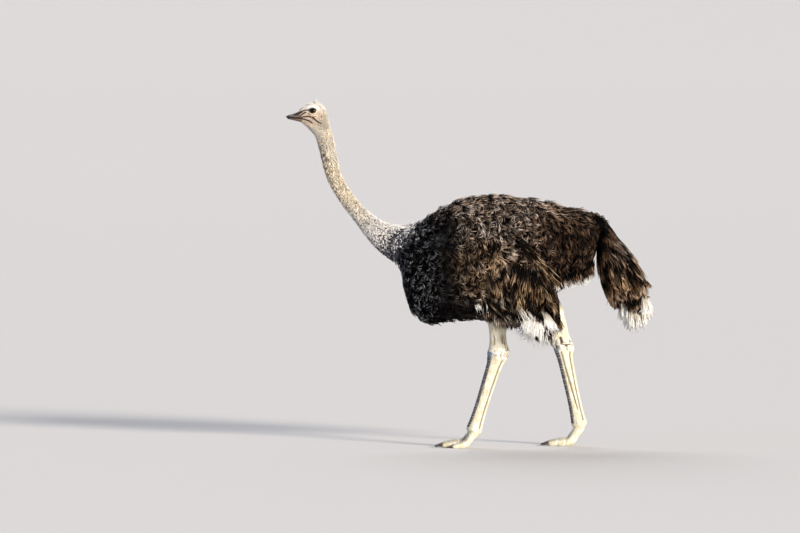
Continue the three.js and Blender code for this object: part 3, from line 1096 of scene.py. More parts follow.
def grow(growth: Growth, area: Area, seed: int) -> Piece:
    """Grows one area's plumes as one mesh.

    Args:
        growth: How they grow.
        area: Where they grow.
        seed: What all that is left to chance comes from.

    Returns:
        The piece.
    """
    g, rng = growth, np.random.default_rng(seed)
    s0, th0 = area.form.scatter(g.plumes, area.span, area.arc, area.density, rng)
    p0, along0, turn0, normal0 = area.form.frame(s0, th0)
    size = area.size(p0, s0, th0)
    count = g.plumes * g.strands

    def each(a: Array) -> Array:
        """A plume's value for each of its strands."""
        return np.repeat(a, g.strands)

    length = rng.uniform(*g.length, g.plumes) * size
    way0 = area.lie(p0, s0, along0)
    way0 = unit(way0 - normal0 * (way0 * normal0).sum(-1, keepdims=True))
    room = np.maximum(area.room(p0, way0, 1.3 * g.length[1]), 18)
    length = np.minimum(length, room * rng.uniform(0.85, 1.1, g.plumes))
    length = each(length) * rng.uniform(0.78, 1.0, count)
    height = rng.random(g.plumes)
    layer = (g.layer[1] + (g.layer[0] - g.layer[1]) * height) * np.clip(size, 0.3, 1.2)
    middle = p0 + 0.5 * length.reshape(-1, g.strands)[:, :1] * way0
    lumpy = float(g.lump > 0)
    layer = each(layer + g.lump * (0.5 - 0.5 * lumps(p0)) + 24 * lumpy * groove(middle))
    layer = layer + rng.uniform(-2, 2, count)
    turn = (1 - 0.45 * lumpy) * rng.standard_normal(g.plumes) + 0.8 * lumpy * lumps(1.5 * p0 + 90)
    turn = each(np.radians(g.wander) * turn)
    curl = np.radians(g.curl) * rng.choice([-1.0, 1.0], g.plumes) * rng.uniform(0.15, 1.0, g.plumes)
    curl = np.where(rng.random(g.plumes) < 0.7 * lumpy, np.abs(curl) * np.sign(lumps(1.2 * p0 - 60)), curl)
    curl = each(curl) * rng.uniform(0.7, 1.15, count)
    fan = np.radians(g.fan) * rng.uniform(-1, 1, count)
    # Painted shade in the tones: deeper plumes, plumes in the coat's low places and along the groove behind the
    # wing are darker; the rest varies at random.
    hollow = lumpy * (0.18 * lumps(p0) + 0.18 * lumps(2.3 * p0 + 40) - 0.1 * groove(p0))
    tones = each(0.3 * height + (0.7 - g.mixed) * rng.random(g.plumes) + hollow) + rng.random(count) * g.mixed
    tones = np.clip(0.5 + g.contrast * (tones - 0.5), 0, 1)
    lift = each(rng.uniform(*g.lift, g.plumes) + 16 * (rng.random(g.plumes) < g.stray) * np.minimum(size, 1))
    lift = lift * rng.uniform(0.5, 1, count)
    specks = each((rng.random(g.plumes) < area.speck(p0, s0, th0)) * 1.0)
    offset = rng.uniform(-1, 1, count)[:, None] * g.ribbon * np.repeat(np.cross(normal0, way0), g.strands, 0)
    ds, dth = surface_step(np.repeat(along0, g.strands, 0), np.repeat(turn0, g.strands, 0), offset)
    s, th = each(s0) + rng.normal(0, 0.01, count) + ds, each(th0) + rng.normal(0, 0.012, count) + dth
    stops = np.concatenate([[0.0], g.bundle + (1 - g.bundle) * np.linspace(0, 1, g.rings)])
    root = area.depth(s, th) + 1.5
    path, outward = np.empty((count, g.rings + 1, 3)), np.empty((count, g.rings + 1, 3))
    for k, stop in enumerate(stops):
        rise = min(stop / g.bundle, 1.0)
        deep = root + (layer - root) * rise**0.8 - lift * float(smooth(g.bundle, 1.0, np.array(stop)))
        path[:, k] = area.form.point(s, th, -deep)
        _, along, round_, outward[:, k] = area.form.frame(s, th, -deep)
        if k == g.rings:
            break
        gap = stops[k + 1] - stop
        bend = float(smooth(g.bundle * 0.6, 1.0, np.array(stop + gap / 2)))
        angle = turn + fan * min(1.0, 0.35 + stop) + curl * bend
        way = area.lie(path[:, k], s, along)
        way = unit(way - outward[:, k] * (way * outward[:, k]).sum(-1, keepdims=True))
        way = way * np.cos(angle)[:, None] + np.cross(outward[:, k], way) * np.sin(angle)[:, None]
        ds, dth = surface_step(along, round_, way * (length * gap)[:, None])
        s, th = s + ds, th + dth
    fullness = np.interp(stops, [0, 0.4, 0.7, 0.88, 1.0], [0.6, 1.0, 0.9, 0.6, 0.0])
    widths = (g.width * rng.uniform(0.75, 1.25, count) * np.clip(each(size), 0.5, 1.3))[:, None] * fullness
    home = home_of(area, each(s0), each(th0)) + rng.uniform(0, 0.001, (count, 2))
    return blades(g.name, path, outward, widths, stops, home, tones, g.thick, specks)


@dataclass(frozen=True)
class Fan:
    """Plumes that hang free between two lines of x and z on a form's outer side. Lengths are millimetres.

    spread is how far apart a plume's strands are at root and tip, share how much of the way to the
    tips they reach, start how far from the roots' line they may begin, and proud how far out of the
    form root, middle and tip stand. A strand has so many rows of points and waves by so much.
    across is 0 for plumes on the outer side and 1 for plumes all through the form.
    """

    name: str
    roots: tuple[tuple[float, float], ...]
    tips: tuple[tuple[float, float], ...]
    plumes: int
    strands: int = 8
    width: float = 4.5
    spread: tuple[float, float] = (4.0, 7.0)
    share: tuple[float, float] = (0.8, 1.0)
    proud: tuple[float, float, float] = (-8.0, 6.0, 2.0)
    across: float = 0.0
    curl: float = 5.0
    span: tuple[float, float] = (0.0, 24.0)
    start: float = 0.3
    rows: int = 5
    wave: float = 0.0

    def make(self, form: Form, hands: Sequence[Hand], seed: int) -> Piece:
        """Hangs the plumes.

        Args:
            form: Where the roots are.
            hands: The sides that have them.
            seed: What all that is left to chance comes from.

        Returns:
            The piece.
        """
        rng = np.random.default_rng(seed)
        count = self.plumes * len(hands)
        t = np.tile((np.arange(self.plumes) + rng.random(self.plumes)) / self.plumes, len(hands))
        hand = np.repeat([h.value * form.hand for h in hands], self.plumes)
        roots, tips = (self.along(line, t) for line in (self.roots, self.tips))
        tips = roots + (tips - roots) * rng.uniform(*self.share, (count, 1))
        roots = roots + (tips - roots) * rng.uniform(0, self.start, (count, 1))
        half = np.array([abs(form.side(x, z, self.span)[1]) for x, z in roots])
        inward = np.where(rng.random(count) < self.across, np.sin(rng.uniform(-1.57, 1.57, count)), 1.0)
        points = []
        for line, proud, shrink in zip((roots, (roots + tips) / 2, tips), self.proud, (1, 1, 0.97)):
            y = hand * (half * shrink * inward + proud * np.abs(inward))
            points.append(np.stack([line[:, 0], y, line[:, 1]], -1))
        count *= self.strands
        spreads = (self.spread[0], sum(self.spread) / 2, self.spread[1])
        offset = rng.normal(0, 1, (count, 3)) * (1, 0.5, 1)
        points = [np.repeat(p, self.strands, 0) for p in points]
        begin, middle, end = (p + offset * wide for p, wide in zip(points, spreads))
        end = middle + (end - middle) * rng.uniform(0.75, 1.0, (count, 1))
        stops = np.linspace(0, 1, self.rows)
        t = stops[None, :, None]
        path = (1 - t) ** 2 * begin[:, None] + 2 * t * (1 - t) * middle[:, None] + t * t * end[:, None]
        path = path + rng.normal(0, self.curl, (count, 1, 3)) * np.maximum(0, t - 0.55) ** 2 * 5
        phase = np.repeat(rng.random(len(hand)), self.strands)[:, None]
        sway = self.wave * stops * np.sin(2 * math.pi * (1.15 * stops + phase))
        path = path + sway[..., None] * (1, 0, 0.4)
        path[..., 1] = np.clip(path[..., 1], -WIDEST, WIDEST)
        outward = np.repeat(np.stack([0.0 * hand, hand, 0 * hand], -1), self.strands, 0)
        outward = outward[:, None].repeat(self.rows, 1)
        fullness = np.interp(stops, [0, 0.3, 0.8, 1], [0.15, 1, 0.8, 0])
        widths = self.width * rng.uniform(0.7, 1.2, (count, 1)) * fullness
        low, high = np.min(self.roots, 0), np.max(self.roots, 0)
        home = (roots - low) / np.maximum(high - low, 1) * 0.45 + 0.25 * (1 + hand[:, None])
        home = np.clip(np.repeat(home, self.strands, 0), 0, 1 - PATCH)
        tones = np.repeat(rng.random(len(hand)), self.strands) + rng.random(count) * 0.3 - 0.15
        return blades(self.name, path, outward, widths, stops, home, np.clip(tones, 0, 1))

    @staticmethod
    def along(line: tuple[tuple[float, float], ...], t: Array) -> Array:
        """Points at shares of a line."""
        line, places = np.array(line, float), t * (len(line) - 1)
        return np.stack([np.interp(places, np.arange(len(line)), column) for column in line.T], -1)


def coat_depth(s: Array, th: Array) -> Array:
    """How deep the skin lies under the coat's outline.

    Args:
        s: Places along the midline form.
        th: Angles round it.

    Returns:
        The depths.
    """
    places = np.arange(len(DEPTH_HIGH))
    high = np.interp(s, places, DEPTH_HIGH)
    wide = np.interp(s, places, np.add(DEPTH_WIDE, WINGED))
    return high * np.sin(th) ** 2 + wide * np.cos(th) ** 2


def even_depth(depth: float) -> Callable[[Array, Array], Array]:
    """A depth of the skin that is the same everywhere."""
    return lambda s, th: depth + 0 * s


def past_neck_base(p: Array) -> Array:
    """How far behind the slanting line where the neck's pale down ends each point is, in millimetres."""
    return 0.8 * (p[:, 0] + 400) - 0.6 * (p[:, 2] - 1103)


def down_the_form(p: Array, s: Array, along: Array) -> Array:
    """A coat that lies straight along its form."""
    return along


# -------- stage


@dataclass
class Stage:
    """The floor, the lamps and the camera."""

    target: tuple[float, float, float] = (-0.375, 0.0, 0.975)
    distance: float = 72.0
    elevation: float = 2.5
    lens: float = 600.0
    floor: float = 500.0

    def build(self) -> None:
        """Sets the whole stage."""
        self.lay_floor()
        self.light()
        self.place_camera()
        view = bpy.context.scene.view_settings
        view.view_transform, view.look, view.exposure = "Standard", "None", 0.0

    def lay_floor(self) -> None:
        """A plain pale floor, wide enough to fill the view."""
        clear_selection()
        bpy.ops.mesh.primitive_plane_add(size=self.floor)
        floor = bpy.context.object
        floor.name = "floor"
        material, n, shader = new_material("pale_floor")
        shade = n.mix(n.ramp(n.noise(0.02, 1), 0.3, 0.7), "ccc8c2", "cecac4")
        n.feed(shader, {"Base Color": shade, "Roughness": 0.9})
        floor.data.materials.append(material)

    def lamp(self, name: str, way: Sequence[float], strength: float, tint: str, spread: float) -> None:
        """A large, far lamp.

        Args:
            name: Its name.
            way: From the bird towards the lamp.
            strength: Its strength.
            tint: Its colour.
            spread: How wide it looks, in degrees.
        """
        data = bpy.data.lights.new(name, "SUN")
        data.energy, data.angle = strength, math.radians(spread)
        data.color = colour(tint)[:3]
        lamp = bpy.data.objects.new(name, data)
        lamp.rotation_mode = "QUATERNION"
        lamp.rotation_quaternion = Vector(way).to_track_quat("Z", "Y")
        bpy.context.scene.collection.objects.link(lamp)

    def light(self) -> None:
        """A warm key from behind the bird's tail, a cool fill from its front and a pale world."""
        self.lamp("key", (0.66, -0.74, 0.29), 5.4, "fff7ee", 12)
        self.lamp("low", (0.6, -0.8, 0.0), 1.2, "fff3e4", 40)
        self.lamp("fill", (-0.93, -0.3, 0.36), 0.55, "b4caff", 50)
        self.lamp("far", (-0.2, 0.78, 0.6), 2.0, "f1f4ff", 50)
        world = bpy.data.worlds.new("studio")
        world.use_nodes = True
        background = world.node_tree.nodes["Background"]
        background.inputs["Color"].default_value = colour("dfe6f2")
        background.inputs["Strength"].default_value = 0.28
        bpy.context.scene.world = world

    def place_camera(self) -> None:
        """A long lens a little above the bird's height, square to its left side."""
        data = bpy.data.cameras.new("camera")
        data.lens, data.sensor_width = self.lens, 36.0
        data.clip_start, data.clip_end = 1.0, 2000.0
        camera = bpy.data.objects.new("camera", data)
        e = math.radians(self.elevation)
        back = Vector((0, -math.cos(e), math.sin(e)))
        camera.location = Vector(self.target) + back * self.distance
        camera.rotation_euler = back.to_track_quat("Z", "Y").to_euler()
        bpy.context.scene.collection.objects.link(camera)
        bpy.context.scene.camera = camera


# -------- head


@dataclass
class Head:
    """The head's folds, eyes, lids, bill and lashes."""

    eye: tuple[float, float, float] = (-844, 22, 1817)
    eye_out: float = 44.0
    eye_radius: float = 22.3
    lid_radius: float = 24.6
    opening: tuple[float, float] = (16.2, 10.8)
    gaze: tuple[float, float, float] = (-0.1, 0.98, 0.03)
    ear: tuple[float, float] = (-799, 1786)

    # Each fold's reach and height, followed by its path as x and z.
    FOLDS = (
        (3.6, -3.4, (-940, 1779), (-919, 1775.6), (-899, 1772.6), (-879, 1767.5), (-864, 1761.5), (-848, 1751)),
        (3.6, 1.5, (-926, 1781), (-905, 1779), (-880, 1775), (-862, 1769), (-848, 1760)),
        (4.0, 1.4, (-922, 1767), (-900, 1763), (-878, 1760), (-862, 1752)),
        (3.3, -3.2, (-917, 1780), (-899, 1784), (-876, 1786), (-856, 1784), (-841, 1776.6)),
        (4.6, -4.0, (-845, 1779), (-835, 1771), (-828, 1764), (-815, 1754), (-803, 1750)),
        (5.4, -3.9, (-924, 1801.5), (-917, 1806), (-908, 1811)),
        (3.2, -2.8, (-912, 1809), (-899, 1816), (-886, 1821), (-873, 1821), (-860, 1821)),
        (3.6, -3.0, (-914, 1788), (-907, 1795), (-897, 1802), (-889, 1808), (-884, 1808)),
        (2.4, -1.4, (-869, 1805), (-866, 1799), (-858, 1794)),
        (7.0, 4.2, (-876, 1835), (-860, 1843), (-841, 1845), (-824, 1839), (-813, 1829)),
        (5.5, 2.2, (-868, 1795), (-848, 1789), (-828, 1794), (-818, 1802)),
        (2.2, -1.2, (-872, 1789), (-850, 1783.5), (-830, 1787)),
        (8.0, 1.6, (-812, 1822), (-800, 1812), (-792, 1800)),
        (9.0, 2.0, (-884, 1745), (-858, 1733), (-832, 1724)),
        (5.0, -2.6, (-806, 1753), (-801, 1749)),
        (3.0, -1.1, (-812, 1772), (-806, 1766), (-796, 1764)),
        (3.2, -1.3, (-820, 1742), (-805, 1735), (-790, 1733)),
        (3.2, -1.0, (-812, 1722), (-796, 1716), (-780, 1714)),
    )

    def strokes(self) -> list[Stroke]:
        """The folds of both sides, and the ears' rims.

        Returns:
            The strokes.
        """
        made = []
        for hand in Hand:
            mirror = np.array((1, hand.value, 1))
            for reach, height, *path in self.FOLDS:
                made.append(Stroke([MIDLINE.side(x, z) * mirror for x, z in path], reach, height))
            x, y, z = MIDLINE.side(*self.ear)
            turns = np.radians(np.arange(0, 361, 30))
            rim = [(x + 6.5 * math.cos(t), y * hand.value, z + 8 * math.sin(t)) for t in turns]
            made.append(Stroke(rim, 3.0, 2.0))
        made.append(Stroke(((-895, 0, 1738), (-865, 0, 1714), (-838, 0, 1698)), 7.0, 1.8))
        return made

    def creases(self, co: Array) -> Array:
        """How deep in a fold of the face each point is, from 0 to 1."""
        flat = [replace(s, path=np.array(s.path) * (1, 0, 1)) for s in self.strokes() if s.height < 0]
        return np.clip(-total_lift(co * (1, 0, 1), flat) / 2.4, 0, 1)

    def eye_axes(self, hand: Hand) -> tuple[Vector, Vector, Vector, Vector]:
        """Places an eye.

        Args:
            hand: Its side.

        Returns:
            Its centre, the way it looks, and the long and short ways of its opening.
        """
        centre = Vector((self.eye[0], self.eye[1] * hand.value, self.eye[2]))
        gaze = Vector((self.gaze[0], self.gaze[1] * hand.value, self.gaze[2])).normalized()
        ahead = (Vector((-1, 0, -0.12)) - gaze * gaze.dot(Vector((-1, 0, -0.12)))).normalized()
        up = ahead.cross(gaze) if hand is Hand.RIGHT else gaze.cross(ahead)
        return centre, gaze, ahead, up if up.z > 0 else -up

    def rim(self, hand: Hand, share: float, radius: float, steps: int = 48) -> Array:
        """Points round an eye's opening.

        Args:
            hand: The eye's side.
            share: Their size beside the opening's.
            radius: The ball that they lie on.
            steps: How many there are.

        Returns:
            The points.
        """
        centre, gaze, ahead, up = self.eye_axes(hand)
        points = []
        for t in np.linspace(0, 2 * math.pi, steps, endpoint=False):
            u = self.opening[0] * share * math.cos(t)
            v = self.opening[1] * share * math.copysign(abs(math.sin(t)) ** 1.2, math.sin(t))
            depth = math.sqrt(max(radius**2 - u * u - v * v, 1.0))
            points.append(centre + ahead * u + up * v + gaze * depth)
        return np.array(points)

    def refine(self, skin: Piece) -> None:
        """Gives the face twice as many points.

        Args:
            skin: The skin.
        """
        pick(skin)
        bpy.ops.object.mode_set(mode="EDIT")
        bpy.ops.mesh.select_mode(type="FACE")
        bpy.ops.mesh.select_all(action="DESELECT")
        mesh = bmesh.from_edit_mesh(skin.data)
        for face in mesh.faces:
            x, y, z = face.calc_center_median() / MM
            face.select_set(-932 < x < -812 and 1736 < z < 1852 and abs(y) > 8)
        bmesh.update_edit_mesh(skin.data)
        bpy.ops.mesh.subdivide(number_cuts=1, smoothness=0.0)
        bpy.ops.mesh.vertices_smooth(factor=0.4, repeat=2)
        bpy.ops.object.mode_set(mode="OBJECT")

    def raise_lids(self, skin: Piece) -> None:
        """Rounds the skin out over the eyes, with a fold above and below each.

        Args:
            skin: The skin.
        """
        co = positions(skin) / MM
        for hand in Hand:
            centre = np.array(self.eye_axes(hand)[0])
            off = co - centre
            far = np.linalg.norm(off, axis=1)
            near = (far < self.lid_radius + 14) & (co[:, 1] * hand.value > 8)
            soft = 1.6
            grown = self.lid_radius + soft * np.logaddexp(0, (far[near] - self.lid_radius) / soft)
            co[near] = centre + off[near] / far[near, None] * grown[:, None]
        move_points(skin, co * MM)
        folds = []
        for hand in Hand:
            folds.append(Stroke(self.rim(hand, 1.42, 26)[2:23], 1.7, -1.5))
            folds.append(Stroke(self.rim(hand, 1.5, 26)[28:44], 1.6, -1.2))
            lip = self.rim(hand, 1.08, self.lid_radius)
            folds.append(Stroke([*lip, lip[0]], 2.2, 1.0))
        sculpt(skin, folds)

    def open_lids(self, skin: Piece) -> None:
        """Cuts the eyes' openings and the ears.

        Args:
            skin: The skin.
        """
        for hand in Hand:
            centre, gaze, ahead, up = self.eye_axes(hand)
            clear_selection()
            bpy.ops.mesh.primitive_cylinder_add(vertices=48, radius=1, depth=2, end_fill_type="TRIFAN")
            cutter = bpy.context.object
            co = positions(cutter)
            turns = np.arctan2(co[:, 1], co[:, 0])
            radius = np.hypot(co[:, 0], co[:, 1])
            u = self.opening[0] * radius * np.cos(turns)
            v = self.opening[1] * radius * np.sign(np.sin(turns)) * np.abs(np.sin(turns)) ** 1.2
            w = np.where(co[:, 2] > 0, 36.0, 13.0)
            base = np.array(centre)
            move_points(cutter, (base + np.outer(u, ahead) + np.outer(v, up) + np.outer(w, gaze)) * MM)
            face_outwards(cutter)
            cut_away(skin, cutter)
            x, y, z = MIDLINE.side(*self.ear)
            cut_away(skin, egg("ear_hole", (x, (y + 0.5) * hand.value, z), (3.8, 6.0, 5.4), 24, (0, 12, 0)))

    def eyes(self) -> None:
        """The eyeballs, each with a cornea that stands proud."""
        material = eye_material()
        for hand in Hand:
            centre, gaze, _, _ = self.eye_axes(hand)
            side = hand.side
            clear_selection()
            bpy.ops.mesh.primitive_uv_sphere_add(segments=64, ring_count=40, radius=1)
            ball = bpy.context.object
            ball.name = ball.data.name = f"eyeball_{side}"
            co = positions(ball)
            angle = np.degrees(np.arccos(np.clip(co[:, 2], -1, 1)))
            bulge = 1.3 * smooth(48, 20, angle)
            turn = np.array(gaze.to_track_quat("Z", "Y").to_matrix())
            move_points(ball, ((co * (self.eye_radius + bulge)[:, None]) @ turn.T + np.array(centre)) * MM)
            store(ball.data, "ring", angle / 90)
            finish_piece(ball, material, [f"eye_{side}"])

    def bill(self) -> None:
        """The two halves of the flat bill."""
        material = bill_material()
        for name, table, hinge, tip in (("upper", BILL_UPPER, -0.55, 15), ("lower", BILL_LOWER, 0.6, 12)):
            half = tube(f"horn_bill_{name}", Form(table, hinge=hinge), np.linspace(0, 4, 60), 72, (3, tip))
            if name == "upper":
                strokes = [
                    Stroke(((-912, 0, 1811), (-935, 0, 1803), (-960, 0, 1797), (-972, 0, 1793)), 6.0, 1.4),
                    Stroke(((-976, 0, 1790), (-985, 0, 1784)), 7.0, 1.8),
                ]
                for y in (-1, 1):
                    path = ((-915, 17 * y, 1803), (-945, 14 * y, 1797), (-966, 10 * y, 1792))
                    strokes.append(Stroke(path, 4.5, -1.3))
                sculpt(half, strokes)
                for y in (-1, 1):
                    cut_away(half, egg("nostril", (-937, 16 * y, 1798), (11, 5.0, 3.2), 24, (0, -20, 0)))
            x, _, z = positions(half).T / MM
            # Painted shade round the nostril and along the gape between the two halves.
            dark = smooth(11, 7, np.hypot((x + 930) * 0.5, (z - 1800.5 - 0.38 * (x + 930)) * 1.5))
            store(half.data, "crease", np.maximum(dark, smooth(4.4, 2.2, np.abs(z + 0.07 * x - 1712.4))))
            finish_piece(half, material, [f"bill_{name}"], 50)

    def lashes(self, material: Material) -> None:
        """Bristle lashes on the upper lids.

        Args:
            material: Their bristle.
        """
        rng = np.random.default_rng(77)
        for hand in Hand:
            centre, gaze, ahead, up = (np.array(v) for v in self.eye_axes(hand))
            rim = self.rim(hand, 1.06, self.lid_radius - 0.4, 96)[4:46]
            roots = np.repeat(rim, 2, 0) + rng.normal(0, 0.5, (2 * len(rim), 3))
            count = len(roots)
            out = unit(roots - centre)
            way = unit(out + 0.9 * up - 0.35 * ahead + rng.normal(0, 0.12, (count, 3)))
            reach = rng.uniform(7, 12, (count, 1))
            stops = np.linspace(0, 1, 5)
            t = stops[None, :, None]
            path = roots[:, None] + way[:, None] * reach[:, None] * t
            path = path - 3.2 * up * t * t + 2.5 * out[:, None] * t * (1 - t)
            widths = np.full((count, 1), 0.9) * np.array([1, 0.9, 0.7, 0.45, 0])
            home = np.stack([np.linspace(0.1, 0.9, count), np.full(count, 0.5)], -1)
            outward = np.repeat(out[:, None], 5, 1)
            tones = rng.random(count)
            piece = blades(f"lashes_{hand.side}", path, outward, widths, stops, home, tones, 0.8)
            finish_piece(piece, material)


def eye_material() -> Material:
    """A dark pupil in a brown iris, under a wet cornea.

    Returns:
        The material.
    """
    material, n, shader = new_material("eye")
    ring = n.attribute("ring")
    fibres = n.noise(900, 2, (1, 0.2, 1))
    iris = n.mix(n.ramp(fibres, 0.35, 0.65), "1c0f09", "35200f")
    base = n.mix(n.ramp(ring, 0.24, 0.27), "050404", iris)
    base = n.mix(n.ramp(ring, 0.47, 0.54), base, "140c08")
    base = n.mix(n.ramp(ring, 0.56, 0.66), base, "6b4f42")
    n.feed(shader, {"Base Color": base, "Roughness": n.ramp(fibres, 0, 1, 0.06, 0.12)})
    n.feed(shader, {"Specular IOR Level": 0.14, "Coat Weight": 0.08, "Coat Roughness": 0.03})
    return material


def bill_material() -> Material:
    """Pinkish grey horn, darker and then black towards the nail, with painted shade on its lower half and in
    its creases.

    Returns:
        The material.
    """
    material, n, shader = new_material("bill_horn")
    x, _, z = n.place()
    horn = n.effect(
        HORN, Dark="41352f", Pale="6a5a52", Scale=160.0, Stretch=(0.25, 1, 1), Smooth=0.45
    ).outputs
    # Painted shade: the lower half of the bill is darker.
    base = n.mix(n.ramp(z, 1.776, 1.772), horn["Color"], "6b5947")
    base = n.mix(n.ramp(x, -0.95, -0.97, 0, 0.6), base, "4b403b")
    base = n.mix(n.ramp(x, -0.966, -0.978), base, "171311")
    # Painted shade in the bill's creases.
    base = n.mix(n.product(n.attribute("crease"), 0.95), base, "180f0c")
    n.feed(shader, {"Base Color": base, "Roughness": horn["Roughness"], "Normal": horn["Normal"]})
    return material


def horn_grain(n: Nodes, entry: Sockets) -> Sockets:
    """Horn's fine streaks, with their bump.

    Args:
        n: The group's nodes.
        entry: Its inputs.

    Returns:
        Its outputs.
    """
    grain = n.noise(entry["Scale"], 4.0, entry["Stretch"], 0.5)
    streaks = n.mix(n.ramp(grain, 0.3, 0.7), entry["Dark"], entry["Pale"])
    rough = n.math("ADD", n.ramp(grain, 0.3, 0.7, 0.0, 0.2), entry["Smooth"])
    bump = n.add("Bump", {"Height": grain, "Strength": 0.3, "Distance": 0.0007})
    return {"Color": streaks, "Roughness": rough, "Normal": bump.outputs[0]}


HORN = Effect(
    "horn_grain",
    {"Dark": "2f2721", "Pale": "5c5145", "Scale": 220.0, "Stretch": (0.2, 1.0, 1.0), "Smooth": 0.38},
    horn_grain,
)


# -------- legs

KNEE = 4.4  # the ankle's place along the leg's form
TOE_SCUTE = 10.5  # the length of a plate on a toe
BIG_TOE, SMALL_TOE = (168, 31, 25), (118, 19, 19)  # each toe's length, half width and half height


def plate_tone(share: Array) -> Array:
    """How dark a plate is at a share of its length: pale at both edges."""
    return 1 - 0.6 * smooth(0.2, 0.0, share) - 0.6 * smooth(0.86, 1.0, share)


def mix(a: float, b: float, t: float) -> float:
    """The value that far from a to b."""
    return a + (b - a) * t


@dataclass(frozen=True)
class Leg:
    """One leg in its pose: where the ankle and the toe joint are, and its scutes and grooves.

    creases has each groove's reach, followed by its path as x and z.
    """

    hand: Hand
    ankle: tuple[float, float]
    thigh_x: float
    toe_x: float
    tarsus: float = 448.0
    spread: float = 82.0
    scute: float = 15.0
    sway: float = 0.0
    creases: tuple[tuple[float | tuple[float, float], ...], ...] = ()

    @property
    def toe_z(self) -> float:
        """The toe joint's height."""
        return self.ankle[1] - math.sqrt(self.tarsus**2 - (self.toe_x - self.ankle[0]) ** 2)

    def form(self) -> Form:
        """The leg from inside the trunk to the toe joint.

        Returns:
            The form.
        """
        (ax, az), tx, tz = self.ankle, self.toe_x, self.toe_z
        lean_of = math.degrees(math.atan2(ax - tx, az - tz)) - 90

        def side(t: float) -> float:
            """How far out the leg is."""
            return mix(126, self.spread, t)

        def thigh(t: float, high: float, wide: float) -> Section:
            """A section between hip and ankle."""
            x = mix(self.thigh_x, ax, t) + self.sway * math.sin(math.pi * t)
            return Section(x, az + 300 * (1 - t), -88, high, wide, side(0.7 * t))

        def shank(t: float, high: float, wide: float, back: float = 0) -> Section:
            """A section between ankle and toe joint."""
            lean = -90 if t < 0.12 else lean_of
            return Section(mix(ax, tx, t) + back, mix(az, tz, t), lean, high, wide, side(0.7 + 0.3 * t))

        table = [thigh(0, 92, 60), thigh(0.3, 68, 46), thigh(0.58, 48, 33), thigh(0.8, 46, 30)]
        table += [shank(-0.02, 56, 34), shank(0.07, 53, 33, 3), shank(0.17, 42, 28, 1), shank(0.4, 37, 24)]
        table += [shank(0.66, 34.5, 23), shank(0.86, 37, 27), shank(0.98, 42, 33)]
        return Form(table, self.hand.value)

    def toe_form(self, length: float, wide: float, pad: float) -> Form:
        """A toe from its joint down to the ground and forward on its pad.

        Args:
            length: Its length.
            wide: Its half width.
            pad: Its half height.

        Returns:
            The form.
        """
        drop = 66.0

        def height(ahead: float) -> float:
            """The toe's middle above the ground."""
            fall = float(smooth(-drop * 0.35, drop, np.array(ahead)))
            return mix(self.toe_z, pad - 3, fall) - max(0, ahead / length - 0.5) * 0.6 * pad

        table = []
        for t in (-0.06, 0.1, 0.25, 0.4, 0.58, 0.78, 0.94):
            ahead = t * length
            lean = math.degrees(math.atan((height(ahead - 4) - height(ahead + 4)) / 8)) * 0.8
            slim = 1 - 0.32 * float(smooth(0.55, 1, np.array(t)))
            table.append(Section(self.toe_x - ahead, height(ahead), -lean, pad * slim * 1.08, wide * slim))
        return Form(table)

    def place(self, piece: Piece, splay: float = 0.0, outset: float = 0.0) -> None:
        """Turns a toe outwards about its joint, shifts it to its foot and flattens its sole.

        Args:
            piece: The toe.
            splay: Its turn, in degrees.
            outset: Its shift outwards.
        """
        turn = Matrix.Rotation(math.radians(-self.hand.value * splay), 4, "Z")
        joint = Matrix.Translation(Vector((self.toe_x, self.hand.value * (self.spread + outset), 0)) * MM)
        piece.data.transform(joint @ turn @ Matrix.Translation(Vector((-self.toe_x, 0, 0)) * MM))
        co = positions(piece)
        co[:, 2] = np.maximum(co[:, 2], 0)
        move_points(piece, co)

    def strokes(self, form: Form) -> list[Stroke]:
        """Tendon grooves, knuckles and creases.

        Args:
            form: The leg's form.

        Returns:
            The strokes.
        """
        shaft = (5.4, 6.0, 7.0, 8.0, 9.0, 9.6)
        lines = (
            (shaft, (-40, 220), 5.8, -3.0), (shaft, (-66, 194), 6.0, 1.6),
            ((KNEE, 5.2, 6.0, 7.0, 8.0, 9.2), (38, 142), 3.2, -1.8), ((4.3, 4.7), (10, 170), 15, 4.5),
            ((9.4, 9.9), (10, 170), 13, 2.6), ((4.0, 4.3), (90,), 15, 4.0), ((4.2, 5.0), (-90,), 16, 4.0),
            ((3.7, 3.9), (-60, -120), 5, -3.0),
        )
        made = []
        for places, degrees, reach, height in lines:
            for th in np.radians(degrees):
                s = np.array(places)
                made.append(Stroke(form.point(s, th + 0 * s), reach, height))
        for reach, *path in self.creases:
            for outer in (1, -1):
                deep = (1.1 if reach > 4.8 else 0.72) * reach
                made.append(Stroke([form.side(x, z, (2.0, 10.0), outer) for x, z in path], reach, -deep))
        turns = np.radians(np.arange(-160, -19, 20))
        for s in (3.95, 4.9, 5.15):
            made.append(Stroke(form.point(np.full(len(turns), s), turns), 2.4, -1.3))
        return made

    def scutes(self, form: Form, co: Array) -> tuple[Array, Array]:
        """The plates in front of the shank.

        Args:
            form: The leg's form.
            co: Points.

        Returns:
            How far into the plates each is, and its share of one plate.
        """
        s, th = form.locate(co)
        table = form.values(np.linspace(0, form.last, 400))
        run = np.concatenate([[0], np.cumsum(np.hypot(*np.diff(table[:, [0, 2]], axis=0).T))])
        path = np.interp(s, np.linspace(0, form.last, 400), run)
        turned = np.abs((th - math.pi / 2 + math.pi) % (2 * math.pi) - math.pi)
        front = smooth(math.radians(49), math.radians(38), turned)
        front = front * smooth(4.15, 4.6, s) * smooth(9.98, 9.7, s)
        share = (path / self.scute + 0.06 * np.cos(3 * turned)) % 1.0
        return front, share

